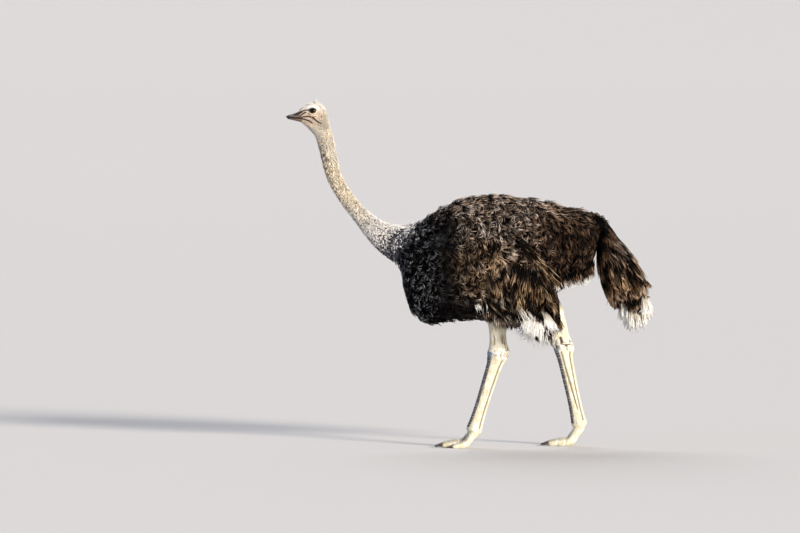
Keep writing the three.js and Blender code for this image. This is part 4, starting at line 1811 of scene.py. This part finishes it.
    def build(self) -> Piece:
        """The leg with its foot, all one closed piece.

        Returns:
            The leg.
        """
        form = self.form()
        stations = np.concatenate([np.linspace(0, 3.2, 16, endpoint=False), np.linspace(3.2, 10, 190)])
        leg = tube("leg", form, stations, 64, (0, 30))
        sculpt(leg, self.strokes(form))
        co, way = positions(leg) / MM, normals(leg)
        front, share = self.scutes(form, co)
        plate = front * (1.5 * share**0.7 + 0.4)
        co = co + way * plate[:, None]
        co[:, 2] = np.maximum(co[:, 2], 0)
        move_points(leg, co * MM)
        for (length, wide, pad), splay, outset in ((BIG_TOE, 0, 0), (SMALL_TOE, 24, 25)):
            toe = tube("toe", self.toe_form(length, wide, pad), np.linspace(0, 6, 60), 44, (16, 14))
            self.shape_toe(toe, length)
            self.place(toe, splay, outset)
            combine(leg, toe)
        return leg

    def shape_toe(self, toe: Piece, length: float) -> None:
        """Puts plates over a toe's top and waists between its pads.

        Args:
            toe: The toe.
            length: Its length.
        """
        co, way = positions(toe) / MM, normals(toe)
        ahead = self.toe_x - co[:, 0]
        above = smooth(0.25, 0.75, way[:, 2])
        share = (ahead / TOE_SCUTE) % 1.0
        lift = above * (0.9 * share**0.7) * smooth(5, 25, ahead) * smooth(length, length * 0.86, ahead)
        for waist in (0.46, 0.72):
            lift -= 2.6 * np.exp(-(((ahead - waist * length) / 5.5) ** 2)) * (1 - 0.65 * above)
        move_points(toe, (co + way * lift[:, None]) * MM)

    def claw(self, material: Material) -> None:
        """The big toe's blunt nail.

        Args:
            material: Its horn.
        """
        side = self.hand.side
        tip = self.toe_x - BIG_TOE[0]
        table = []
        for t in (0, 0.35, 0.7, 1):
            table.append(Section(tip + 56 * (0.3 - t), 21 - 12 * t, 0, mix(14, 5, t), mix(15.5, 6, t)))
        nail = tube(f"nail_{side}", Form(table), np.linspace(0, 3, 40), 40, (0, 4))
        sculpt(nail, [Stroke(((tip + 14, 0, 35), (tip - 12, 0, 24), (tip - 38, 0, 14)), 5.0, 1.2)])
        self.place(nail)
        finish_piece(nail, material, [f"claw_{side}"], 60)


LEGS = (
    Leg(
        Hand.LEFT, (156, 517), 146, 22,
        creases=((4, (131, 606), (134, 560)), (4, (176, 600), (178, 566)), (4, (189, 566), (199, 520)))
    ),
    Leg(
        Hand.RIGHT, (501, 552), 366, 596, sway=30,
        creases=(
            (6.4, (492, 586), (497, 572), (499, 560)), (4.7, (498, 552), (522, 547), (546, 552)),
            (4.6, (468, 568), (464, 550), (470, 532)), (4, (482, 542), (485, 524)),
            (4, (525, 545), (529, 520)), (4.6, (497, 508), (520, 420), (553, 310), (586, 200)),
        ),
    ),
)


def claw_material() -> Material:
    """Dark worn horn.

    Returns:
        The material.
    """
    material, n, shader = new_material("claw_horn")
    horn = n.effect(HORN, Dark="2f2721", Pale="5c5145", Scale=220.0, Stretch=(0.2, 1, 1), Smooth=0.38).outputs
    n.feed(shader, {"Base Color": horn["Color"], "Roughness": horn["Roughness"], "Normal": horn["Normal"]})
    return material


# -------- skin


MARKS = ("leg", "plate", "crease", "knee", "rim", "dark")  # what the skin's mesh says of each point


@dataclass
class Skin:
    """The bird's one skin: head, neck, trunk, wings, tail and legs without a seam.

    wing_depth and tail_depth are how much slimmer than their forms wings and tail are.
    """

    head: Head
    sides: int = 128
    wing_depth: tuple[float, float, float] = (42, 20, 18)
    tail_depth: tuple[float, float] = (46, 46)

    def core(self) -> Piece:
        """Head, neck and trunk as one tube, with its rings closest on the head.

        Returns:
            The tube.
        """
        form = MIDLINE.slimmed(DEPTH_HIGH, DEPTH_WIDE)
        spans = [(0, 6, 72), (6, 14, 92), (14, 17, 22), (17, 24, 44)]
        stations = np.concatenate([np.linspace(a, b, n, endpoint=False) for a, b, n in spans] + [[24.0]])
        return tube("skin", form, stations, self.sides, (6, 20))

    def build(self) -> None:
        """The whole skin, dressed."""
        skin = self.core()
        self.head.refine(skin)
        sculpt(skin, self.head.strokes())
        self.head.raise_lids(skin)
        self.head.open_lids(skin)
        for form in WINGS.values():
            slim = form.slimmed(*self.wing_depth)
            combine(skin, tube("wing_core", slim, np.linspace(0.3, 7.4, 40), 40, (20, 20)))
        tail = TAIL_FORM.slimmed(*self.tail_depth)
        combine(skin, tube("tail_core", tail, np.linspace(0.2, 7.3, 40), 40, (30, 30)))
        for leg in LEGS:
            combine(skin, leg.build())
        self.mark(skin)
        flesh = ("head", "neck", "trunk", "wing", "tail", "thigh", "tarsus", "toe")
        nodes = [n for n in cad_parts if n.split("_")[0] in flesh and "plumes" not in n]
        finish_piece(skin, self.material(), nodes)

    def mark(self, skin: Piece) -> None:
        """Keeps on the mesh where its naked legs, painted crease shade, plates, lids and dark body are.

        Args:
            skin: The skin.
        """
        co, way = positions(skin) / MM, normals(skin)
        x, y, z = co.T
        leg = smooth(790, 700, z) * (np.abs(y) < 195) * (x < 700)
        # Painted shade in the face's folds and the legs' grooves.
        crease = self.head.creases(co)
        plates, knee = np.zeros(len(co)), np.zeros(len(co))
        for one in LEGS:
            form = one.form()
            near = np.flatnonzero((leg > 0.5) & (np.sign(y) == one.hand.value))
            lines = [s for s in one.strokes(form) if s.height < 0]
            crease[near] = np.clip(-total_lift(co[near] + 2.5 * way[near], lines) / 3.6, 0, 1)
            front, share = one.scutes(form, co[near])
            plates[near] = front * plate_tone(share)
            s, _ = form.locate(co[near])
            knee[near] = np.exp(-(((s - KNEE) / 0.7) ** 2))
        rim = np.zeros(len(co))
        for hand in Hand:
            path = self.head.rim(hand, 1.0, self.head.lid_radius)
            near = np.flatnonzero((np.abs(x + 846) < 40) & (np.abs(z - 1817) < 40) & (y * hand.value > 5))
            gap = np.linalg.norm(co[near][:, None] - path[None], axis=-1).min(1)
            above = smooth(1813, 1821, z[near])
            rim[near] = smooth(6.5 + 3.5 * above, 1.5 + 2.5 * above, gap)
        # Painted shade: the skin round the ear opening is darkened like the lid margins.
        ear = smooth(8, 4, np.hypot(x - self.head.ear[0], z - self.head.ear[1]))
        rim = np.maximum(rim, 0.7 * ear)
        for one in LEGS:
            toe = smooth(100, 60, z) * smooth(0.15, 0.6, way[:, 2]) * (np.sign(y) == one.hand.value)
            plates = np.maximum(plates, 0.55 * toe * plate_tone(((one.toe_x - x) / TOE_SCUTE) % 1.0))
        # Under the dark coat the skin is near black: its dusky colour, and painted shade in the gaps between
        # the plumes.
        dark = smooth(-10, 70, past_neck_base(co)) * (1 - leg)
        for name, value in zip(MARKS, (leg, plates, crease, knee, rim, dark)):
            store(skin.data, name, value)

    def material(self) -> Material:
        """Pink and tan on the face, dusky under the coat, cream on the legs with bluish plates.

        Painted shade darkens folds, grooves, ears and the skin between the plumes, and tints the plates blue;
        painted light whitens the ankles.

        Returns:
            The material.
        """
        material, n, shader = new_material("bird_skin")
        height = n.place()[2]
        blotch, grain = n.noise(28, 4), n.noise(260, 3)
        leg, plate, crease, knee, rim, dark = (n.attribute(name) for name in MARKS)
        neck = n.mix(n.ramp(blotch, 0.3, 0.7), "c9bba2", "ddd0b8")
        face = n.mix(n.ramp(blotch, 0.35, 0.65), "a18a75", "c3ae94")
        base = n.mix(n.ramp(height, 1.70, 1.76), neck, face)
        base = n.mix(n.ramp(height, 1.80, 1.84, 0, 0.9), base, "e4e0d8")
        # Near black under the coat: dusky skin and painted shade between the plumes.
        base = n.mix(dark, base, "0c0908")
        shank = n.mix(n.ramp(blotch, 0.3, 0.72), "d0c6a3", "e9e5d4")
        shank = n.mix(n.ramp(n.noise(150, 3, (1, 1, 0.1)), 0.5, 0.72, 0, 0.65), shank, "a38f6c")
        shank = n.mix(n.ramp(n.noise(75, 3), 0.5, 0.72, 0, 0.35), shank, "9c8c70")
        # Whiter round the ankle: the joint's pale skin, and painted light on the upper shank where the body's
        # shade falls.
        shank = n.mix(n.product(knee, 0.5), shank, "eff0ee")
        # Brown patches at the ankles: stains, and painted shade like that of the white plumes over the far
        # ankle.
        shank = n.mix(n.product(n.ramp(n.noise(60, 3), 0.44, 0.6, 0, 0.9), knee), shank, "8d7a58")
        # The plates, on shanks and toes, are darker than the skin; their navy, blue-grey near the ankle, is
        # painted sky-lit shade on the leg's front edge.
        shank = n.mix(n.product(plate, 0.92), shank, n.mix(n.ramp(knee, 0.1, 0.7), "2c3248", "62788f"))
        base = n.mix(leg, base, shank)
        # Painted shade in the folds and grooves.
        base = n.mix(n.product(crease, 0.97), base, n.mix(leg, "26150b", "33281a"))
        # Dark lid margins, with painted shade round the ears.
        base = n.mix(n.product(rim, 0.92), base, "1b1411")
        cells = {"Vector": n.add("TexCoord").outputs["Object"], "Scale": 260.0}
        cells = n.add("TexVoronoi", cells, feature="DISTANCE_TO_EDGE").outputs["Distance"]
        relief = n.mix(n.product(leg, 0.8), grain, n.ramp(cells, 0, 0.12))
        bump = n.add("Bump", {"Height": relief, "Strength": 0.45, "Distance": 0.0011}).outputs[0]
        rough = n.ramp(blotch, 0.3, 0.7, 0.5, 0.68)
        n.feed(shader, {"Base Color": base, "Roughness": rough, "Normal": bump, "Specular IOR Level": 0.35})
        return material


# -------- plumage


# How the coat lies: x, z and the degrees it points below straight back.
LIE = (
    (-340, 1130, 62), (-345, 900, 78), (-240, 720, 35), (-160, 1170, 42), (0, 1310, 14), (270, 1330, 20),
    (490, 1280, 30), (640, 1230, 58), (60, 1060, 78), (-110, 950, 88), (-50, 740, 55), (165, 950, 74),
    (165, 1170, 44), (320, 1110, 56), (280, 900, 66), (400, 740, 72), (545, 1110, 78), (620, 980, 88),
    (490, 950, 80),
)


def coat_lie(p: Array, s: Array, along: Array) -> Array:
    """The way the body's plumes lie: back along the spine and away from it, down on the flanks and breast.

    Args:
        p: Roots.
        s: Their places along the form; not used.
        along: The form's slope there; not used.

    Returns:
        One way for each.
    """
    x, y, z = p.T
    places = np.array(LIE, float)
    off = np.hypot(x[:, None] - places[:, 0], z[:, None] - places[:, 1]) / 105
    share = np.exp(-(off**2)) + 1e-4 / (0.1 + off**4)
    turn = np.radians((share * places[:, 2]).sum(1) / share.sum(1))
    return np.stack([np.cos(turn), 0.4 * np.tanh(y / 60) * smooth(1150, 1330, z), -np.sin(turn)], -1)


# Where the dark plumes of the wings and of the tail end and the white ones show, as x and z.
WING_HEM = (
    (57, 653), (192, 643), (262, 643), (289, 697), (316, 697), (343, 675), (370, 686), (386, 718), (418, 697),
    (451, 653), (478, 610), (500, 632)
)
TAIL_HEM = (
    (705, 805), (742, 761), (770, 729), (802, 740), (834, 742), (872, 735), (899, 724), (921, 748),
    (948, 794), (975, 815), (996, 837)
)
WING_QUILLS = Fan(
    "wing_quills",
    ((300, 686), (327, 724), (364, 724), (397, 713), (424, 675)),
    ((292, 640), (302, 598), (322, 570), (352, 551), (392, 546), (424, 560), (440, 592)),
    100, 12, 3.2, (8, 10), (0.4, 1.0), proud=(0, 16, 10), across=0.25, curl=14,
)
WING_FANS = (
    Fan(
        "wing_streaks", ((246, 775), (305, 764)), ((320, 640), (370, 668)), 34, 1, 1.7, (5, 12), (0.5, 1.1),
        proud=(8, 14, 14), curl=9
    ),
    Fan(
        "wing_spikes", ((320, 680), (327, 600)), ((248, 650), (278, 590)), 16, 4, 2.0, (5, 8), (0.6, 1.1),
        proud=(0, 6, 6), curl=9
    ),
    Fan(
        "wing_broad_quill", ((383, 746), (420, 738)), ((444, 612), (482, 636)), 22, 5, 2.5, (3, 6),
        (0.75, 1.05), proud=(-4, 14, 14), curl=7
    ),
)
WING_RIDGE = Fan(
    "wing_ridge", ((232, 1160), (322, 1105)), ((395, 990), (455, 910), (500, 862)),
    24, 4, 4.4, (10, 15), (0.5, 1.05), proud=(-4, 20, 14), curl=7, start=0.5, rows=8, wave=7,
)
WING_GAPS = (
    Fan(
        "wing_speck", ((357, 606), (367, 606)), ((358, 584), (368, 576)), 5, 6, 3.8, (2, 2),
        proud=(34, 37, 37), start=0
    ),
    Fan(
        "wing_gaps", ((330, 760), (392, 742)), ((352, 672), (410, 640)), 16, 4, 3.0, (5, 7), (0.5, 1.0),
        proud=(10, 16, 16), curl=8
    ),
    Fan(
        "wing_hollow", ((400, 690), (440, 672)), ((408, 560), (447, 556)), 18, 4, 2.8, (5, 6), (0.4, 1.0),
        proud=(16, 27, 22), curl=9
    ),
)
TAIL_FANS = (
    Fan("tail_inner", ((816, 790), (848, 790)), ((812, 678), (846, 664)), 26, 9, 3.4, (4, 5), across=1),
    Fan(
        "tail_middle", ((850, 762), (899, 730), (948, 730)), ((850, 632), (883, 616), (921, 626), (953, 653)),
        80, 11, 3.3, (6, 9), (0.66, 1.0), across=1, curl=9
    ),
    Fan(
        "tail_outer", ((932, 822), (959, 808)), ((942, 659), (969, 670), (988, 707)), 60, 11, 3.2, (3, 8),
        (0.7, 1.0), across=1, curl=8
    ),
)
WING_ROPES = Fan(
    "wing_ropes",
    ((267, 1102), (310, 1021), (364, 945), (408, 875)),
    ((219, 729), (294, 697), (381, 740), (456, 761), (483, 675)),
    76, 4, 4.6, (3, 6), (0.5, 1.0), proud=(-10, 18, 12), curl=7, start=0.6, rows=8, wave=7,
)
TAIL_ROPES = (
    Fan(
        "tail_gaps", ((834, 810), (932, 810)), ((848, 728), (880, 704), (922, 728)), 15, 5, 3.0, (4, 5),
        (0.6, 1.0), proud=(2, 10, 10), curl=8
    ),
    Fan(
        "tail_ropes",
        ((720, 1140), (780, 1100), (850, 1020)),
        ((756, 752), (840, 748), (930, 772), (985, 850)),
        46, 4, 4.6, (3, 6), (0.55, 1.0), proud=(-8, 10, 4), across=0.5, curl=7, start=0.6, rows=8, wave=6,
    ),
)
DARK_FANS = (
    Fan(
        "rump_hem", ((467, 945), (554, 967), (629, 999), (667, 1031)),
        ((467, 859), (554, 875), (618, 888), (653, 913), (664, 945)), 110, 5, 3.8, (4, 6), (0.75, 1.0),
        across=1, curl=8
    ),
    Fan("tail_flick", ((948, 907), (959, 891)), ((980, 864), (986, 853)), 5, 4, 3.4, (2, 2), across=1),
    Fan(
        "thigh_plumage", ((78, 794), (165, 778), (262, 761)),
        ((89, 680), (122, 664), (154, 643), (208, 634), (267, 637)), 100, 6, 4.6, (6, 7), proud=(-6, 4, -10)
    ),
    Fan(
        "wing_rear_edge", ((424, 880), (467, 859)), ((451, 632), (491, 610)), 26, 6, 4.4, (3, 5),
        proud=(0, 10, 0), rows=7, wave=6
    ),
    Fan(
        "tail_cover", ((668, 1248), (708, 1238)), ((768, 1130), (802, 1096)), 40, 5, 4.4, (7, 9), (0.8, 1.0),
        proud=(0, 3, 3), across=1, curl=8, start=0.14
    ),
)
PALE_FANS = (
    Fan(
        "rump_fringe", ((467, 902), (554, 918), (618, 934), (662, 956)),
        ((467, 837), (554, 856), (618, 872), (653, 896), (667, 923)), 80, 4, 3.0, (5, 6), (0.6, 1.0),
        across=1, curl=9
    ),
    Fan(
        "belly_down", ((78, 778), (94, 788)), ((73, 697), (108, 702)), 8, 5, 2.4, (3, 5), (0.5, 1.0),
        proud=(-2, 6, 4), curl=12
    ),
    Fan(
        "belly_curl", ((30, 783), (62, 788)), ((35, 745), (62, 740)), 7, 4, 2.2, (3, 5), (0.6, 1.0),
        proud=(-4, 8, -4), curl=14
    ),
)


def above_hem(p: Array, hem: Sequence[Sequence[float]]) -> Array:
    """1 for each point well above a hem, and 0 for the rest."""
    return 1.0 * (p[:, 2] > np.interp(p[:, 0], *np.array(hem).T) + 12)


def wing_plumes(fan: Fan, hand: Hand, seed: int) -> Piece:
    """A fan's plumes on one wing, with the wing's own name and seed."""
    own = replace(fan, name=f"{fan.name}_{hand.side}")
    return own.make(WINGS[hand], [Hand.RIGHT], seed + hand.value)


@dataclass
class Plumage:
    """The dark coat of trunk, wings and tail, with the white plumes of wings and tail.

    wing_depth and tail_depth are how deep the skin lies there.
    """

    wing_depth: float = 30.0
    tail_depth: float = 44.0

    def build(self) -> None:
        """Grows every piece."""
        self.dark = PlumeFinish(
            "dark_plumage", "020202", "0a0706", "b89f8a", "ece0d4", 0.75, 0.0, (0.6, 1.0), "ecc499", "b0b3bc",
            mottle=0.6, gloss=0.06,
        ).make()
        self.white = PlumeFinish(
            "white_plumage", "cbc2b2", "f6f4ee", "fefdfb", "ffffff", light_share=(0.3, 0.9), mottle=0.08
        ).make()
        self.worn = PlumeFinish(
            "worn_plumage", "020202", "0c0806", "94734f", "d6b995", 0.75, 0.0, (0.55, 1.0), mottle=0.4,
            gloss=0.06,
        ).make()
        self.trunk()
        self.wings()
        self.tail()
        self.white_plumes()
        self.fringes()

    def trunk(self) -> None:
        """The trunk's coat, short and curly in front and longer behind."""
        full = (0.0, 360.0)
        parts = [
            ("breast", 2550, (13.8, 17.0), full, (50, 95), 3.7, (1, 24), 160, 36),
            ("flank_left", 2350, (17.0, 20.6), (112, 238), (70, 135), 4.0, (1, 24), 108, 26),
            ("flank_right", 2350, (17.0, 20.6), (-58, 68), (70, 135), 4.0, (1, 24), 108, 26),
            ("back", 1000, (17.0, 20.6), (66, 114), (65, 120), 3.8, (1, 18), 95, 24),
            ("belly", 500, (17.0, 20.6), (236, 304), (55, 80), 5.2, (3, 18), 90, 18),
            ("rump", 1700, (20.6, 24.0), full, (80, 130), 4.2, (1, 22), 60, 15),
        ]
        for k, (name, plumes, span, arc, length, width, layer, curl, wander) in enumerate(parts):
            rings, mixed = (4, 0.55) if name == "breast" else (3, 0.3)
            growth = Growth(
                f"plumage_{name}", plumes, 3, length, width, layer, (0, 9), 24, curl, wander,
                rings=rings, lump=20, mixed=mixed, contrast=1.35,
            )
            area = Area(COAT_FORM, span, arc, coat_lie, coat_depth)
            area.density = lambda p, s, th, n: smooth(-30, 20, past_neck_base(p))
            area.size = lambda p, s, th: 0.55 + 0.45 * smooth(0, 120, past_neck_base(p))
            finish_piece(grow(growth, area, 11 + k), self.dark)

    def wings(self) -> None:
        """The long plumes behind each folded wing."""
        for hand, form in WINGS.items():
            growth = Growth(
                f"wing_plumage_{hand.side}", 950, 5, (90, 180), 3.8, (1, 24), (0, 9), 9, 44, 13,
                rings=3, lump=16, ribbon=8, mixed=0.15, contrast=1.8,
            )
            area = Area(form, (3.4, 8.0), (-180, 180), coat_lie, even_depth(self.wing_depth), hem=WING_HEM)
            area.density = lambda p, s, th, n: above_hem(p, WING_HEM) * np.where(
                np.cos(th) > -0.2, 1.0, 0.4 * smooth(4.6, 5.6, s)
            )
            finish_piece(grow(growth, area, 21 + hand.value), self.dark)

    def tail(self) -> None:
        """The drooping tail."""
        growth = Growth(
            "tail_plumage", 1000, 7, (120, 230), 4.0, (2, 30), (0, 12), 5, 26, 7,
            rings=3, lump=18, ribbon=9, mixed=0.28, contrast=2.2,
        )
        area = Area(TAIL_FORM, (0.0, 7.6), (0, 360), down_the_form, even_depth(self.tail_depth), hem=TAIL_HEM)
        area.density = lambda p, s, th, n: above_hem(p, TAIL_HEM)
        finish_piece(grow(growth, area, 31), self.dark)
        for k, fan in enumerate(TAIL_ROPES):
            ropes = fan.make(TAIL_FORM, list(Hand), 36 + k)
            finish_piece(ropes, self.worn if fan.name == "tail_ropes" else self.dark)

    def white_plumes(self) -> None:
        """The wings' white primaries and the tail's white tips."""
        for hand in WINGS:
            finish_piece(
                wing_plumes(WING_QUILLS, hand, 43), self.white, [f"wing_plumes_{hand.side}"]
            )
            for k, fan in enumerate((WING_ROPES, WING_RIDGE)):
                finish_piece(wing_plumes(fan, hand, 46 + 10 * k), self.worn)
            for k, fan in enumerate(WING_FANS):
                finish_piece(wing_plumes(fan, hand, 60 + 2 * k), self.white)
            for k, fan in enumerate(WING_GAPS, len(WING_FANS)):
                finish_piece(wing_plumes(fan, hand, 60 + 2 * k), self.dark)
        tails = [fan.make(TAIL_FORM, [Hand.RIGHT], 50 + k) for k, fan in enumerate(TAIL_FANS)]
        finish_piece(join("tail_quills", *tails), self.white, ["tail_plumes"])

    def fringes(self) -> None:
        """The free plumes over the thighs, at the wings' rear edges and under the rump."""
        for k, fan in enumerate(DARK_FANS):
            finish_piece(fan.make(COAT_FORM, list(Hand), 80 + k), self.dark)
        for k, fan in enumerate(PALE_FANS):
            finish_piece(fan.make(COAT_FORM, list(Hand), 90 + k), self.white)


@dataclass
class Down:
    """The short pale coat of head and neck, which darkens into the breast."""

    def build(self, head: Head) -> None:
        """Grows the down, the crown's tuft and the lashes.

        Args:
            head: What has the eyes, ears and lashes.
        """
        pale = PlumeFinish(
            "pale_down", "d3ccbd", "e9e5dd", "f3f1ec", "fcfcfa", 0.7, 0.2, (0.2, 0.8), gold="ffe9c3",
            speck="6f6352",
        ).make()
        dusky = PlumeFinish(
            "dusky_down", "c0bcb6", "e6e3de", "f5f3f0", "fefefd", 0.7, 0.15, (0.4, 0.85), mottle=0.08,
            speck="171b30",
        ).make()
        bristle = PlumeFinish("bristle", "0a0706", "120d0a", "1c1410", "2a2019").make()
        eye = np.array(head.eye)

        def face(p: Array, s: Array, th: Array, n: Array) -> Array:
            """Thin on the face and none on the eyes, ears and lips.

            Args:
                p: Roots.
                s: Their places along the form.
                th: Their angles round it; not used.
                n: Their normals; not used.

            Returns:
                The share that grows.
            """
            x, y, z = p.T
            off = np.stack([x - eye[0], np.abs(y) - head.eye_out, z - eye[2]], -1)
            clear = smooth(20, 27, np.linalg.norm(off * (1, 0.4, 1.25), axis=-1))
            ear = smooth(6, 12, np.hypot(x - head.ear[0], z - head.ear[1]))
            front = 0.4 + 0.6 * smooth(-890, -845, x)
            front = front * smooth(7.2, 6.4, s)
            return clear * ear * front * smooth(-926, -912, x) * (1 - head.creases(p)) ** 2

        area = Area(MIDLINE, (0.1, 7.2), (0, 360), down_the_form, even_depth(2.2), face)

        def short_on_the_face(p: Array, s: Array, th: Array) -> Array:
            """Shortest between the folds, longest on the crown and the nape.

            Args:
                p: Roots.
                s: Their places along the form.
                th: Their angles round it; not used.

            Returns:
                The lengths' share.
            """
            x, _, z = p.T
            cheek = smooth(-800, -850, x) * smooth(1806, 1790, z) * smooth(1725, 1745, z)
            cheek = np.maximum(cheek, smooth(-850, -890, x))
            return (1 - 0.65 * cheek) * (1 + 0.7 * smooth(1830, 1855, z)) * (1 + 0.5 * smooth(5.0, 6.6, s))

        area.size = short_on_the_face
        growth = Growth(
            "head_down", 7200, 2, (6, 11.5), 0.95, (-1.5, 1.5), (0, 5), 24, 40, 26, 0.6, 2, stray=0
        )
        finish_piece(grow(growth, area, 51), pale)

        area = Area(MIDLINE, (6.1, 12.4), (0, 360), down_the_form, coat_depth)
        area.density = lambda p, s, th, n: smooth(6.1, 7.0, s)
        area.size = lambda p, s, th: (
            (1 + 0.35 * smooth(0.2, 1, np.sin(th))) * (0.65 + 0.35 * smooth(6.1, 7.6, s))
        )
        # The added dark specks on the underside of the upper and middle neck paint the shade there; the others
        # are the down's own specks.
        area.speck = lambda p, s, th: 0.03 + 0.1 * smooth(10.5, 12.5, s) * smooth(0.9, 0.4, np.sin(th)) + (
            0.34 * smooth(0.3, -0.5, np.sin(th)) * smooth(11.5, 9.5, s)
        )
        growth = Growth(
            "neck_down", 3100, 3, (11, 20), 1.7, (-1.5, 2.5), (0, 7), 24, 60, 30, 0.55, 3, stray=0
        )
        finish_piece(grow(growth, area, 52), pale)

        def speckled(p: Array, s: Array, th: Array) -> Array:
            """Few dark tufts up the neck and on its nape, all dark past its base.

            Args:
                p: Roots.
                s: Their places along the form; not used.
                th: Their angles round it.

            Returns:
                The dark share.
            """
            past = past_neck_base(p)
            share = np.interp(past, [-200, -120, -60, -15, 20], [0.02, 0.06, 0.46, 0.84, 0.98])
            return share * (1 - 0.85 * smooth(0.55, 0.9, np.sin(th)) * smooth(40, 0, past))

        area = Area(MIDLINE, (12.2, 14.9), (0, 360), down_the_form, coat_depth)
        area.size = lambda p, s, th: 0.6 + 0.4 * (s - 12.2)
        area.speck = speckled
        area.density = lambda p, s, th, n: 1 - 0.93 * smooth(0, 50, past_neck_base(p))
        growth = Growth(
            "neck_base_down", 3400, 3, (15, 26), 2.4, (-1, 7), (0, 6), 30, 120, 40, 0.5, 3, stray=0, mixed=0.6
        )
        finish_piece(grow(growth, area, 53), dusky)

        tuft = Fan(
            "crown_tuft",
            ((-838, 1852), (-816, 1851)),
            ((-833, 1872), (-828, 1886), (-824, 1880), (-814, 1862)),
            60, 5, 1.4, (2.2, 1.2), (0.7, 1.0), across=0.8, proud=(0, 0, 0), curl=1.2, span=(2.0, 7.0),
            start=0.1,
        ).make(MIDLINE, [Hand.RIGHT], 54)
        finish_piece(tuft, pale)
        head.lashes(bristle)


def main() -> None:
    """Builds the bird and its stage in order."""
    logging.basicConfig(level=logging.INFO, format="%(message)s", stream=sys.stdout)
    Stage().build()
    head = Head()
    Skin(head).build()
    head.eyes()
    head.bill()
    claw = claw_material()
    for leg in LEGS:
        leg.claw(claw)
    Plumage().build()
    Down().build(head)


if __name__ == "__main__":
    main()
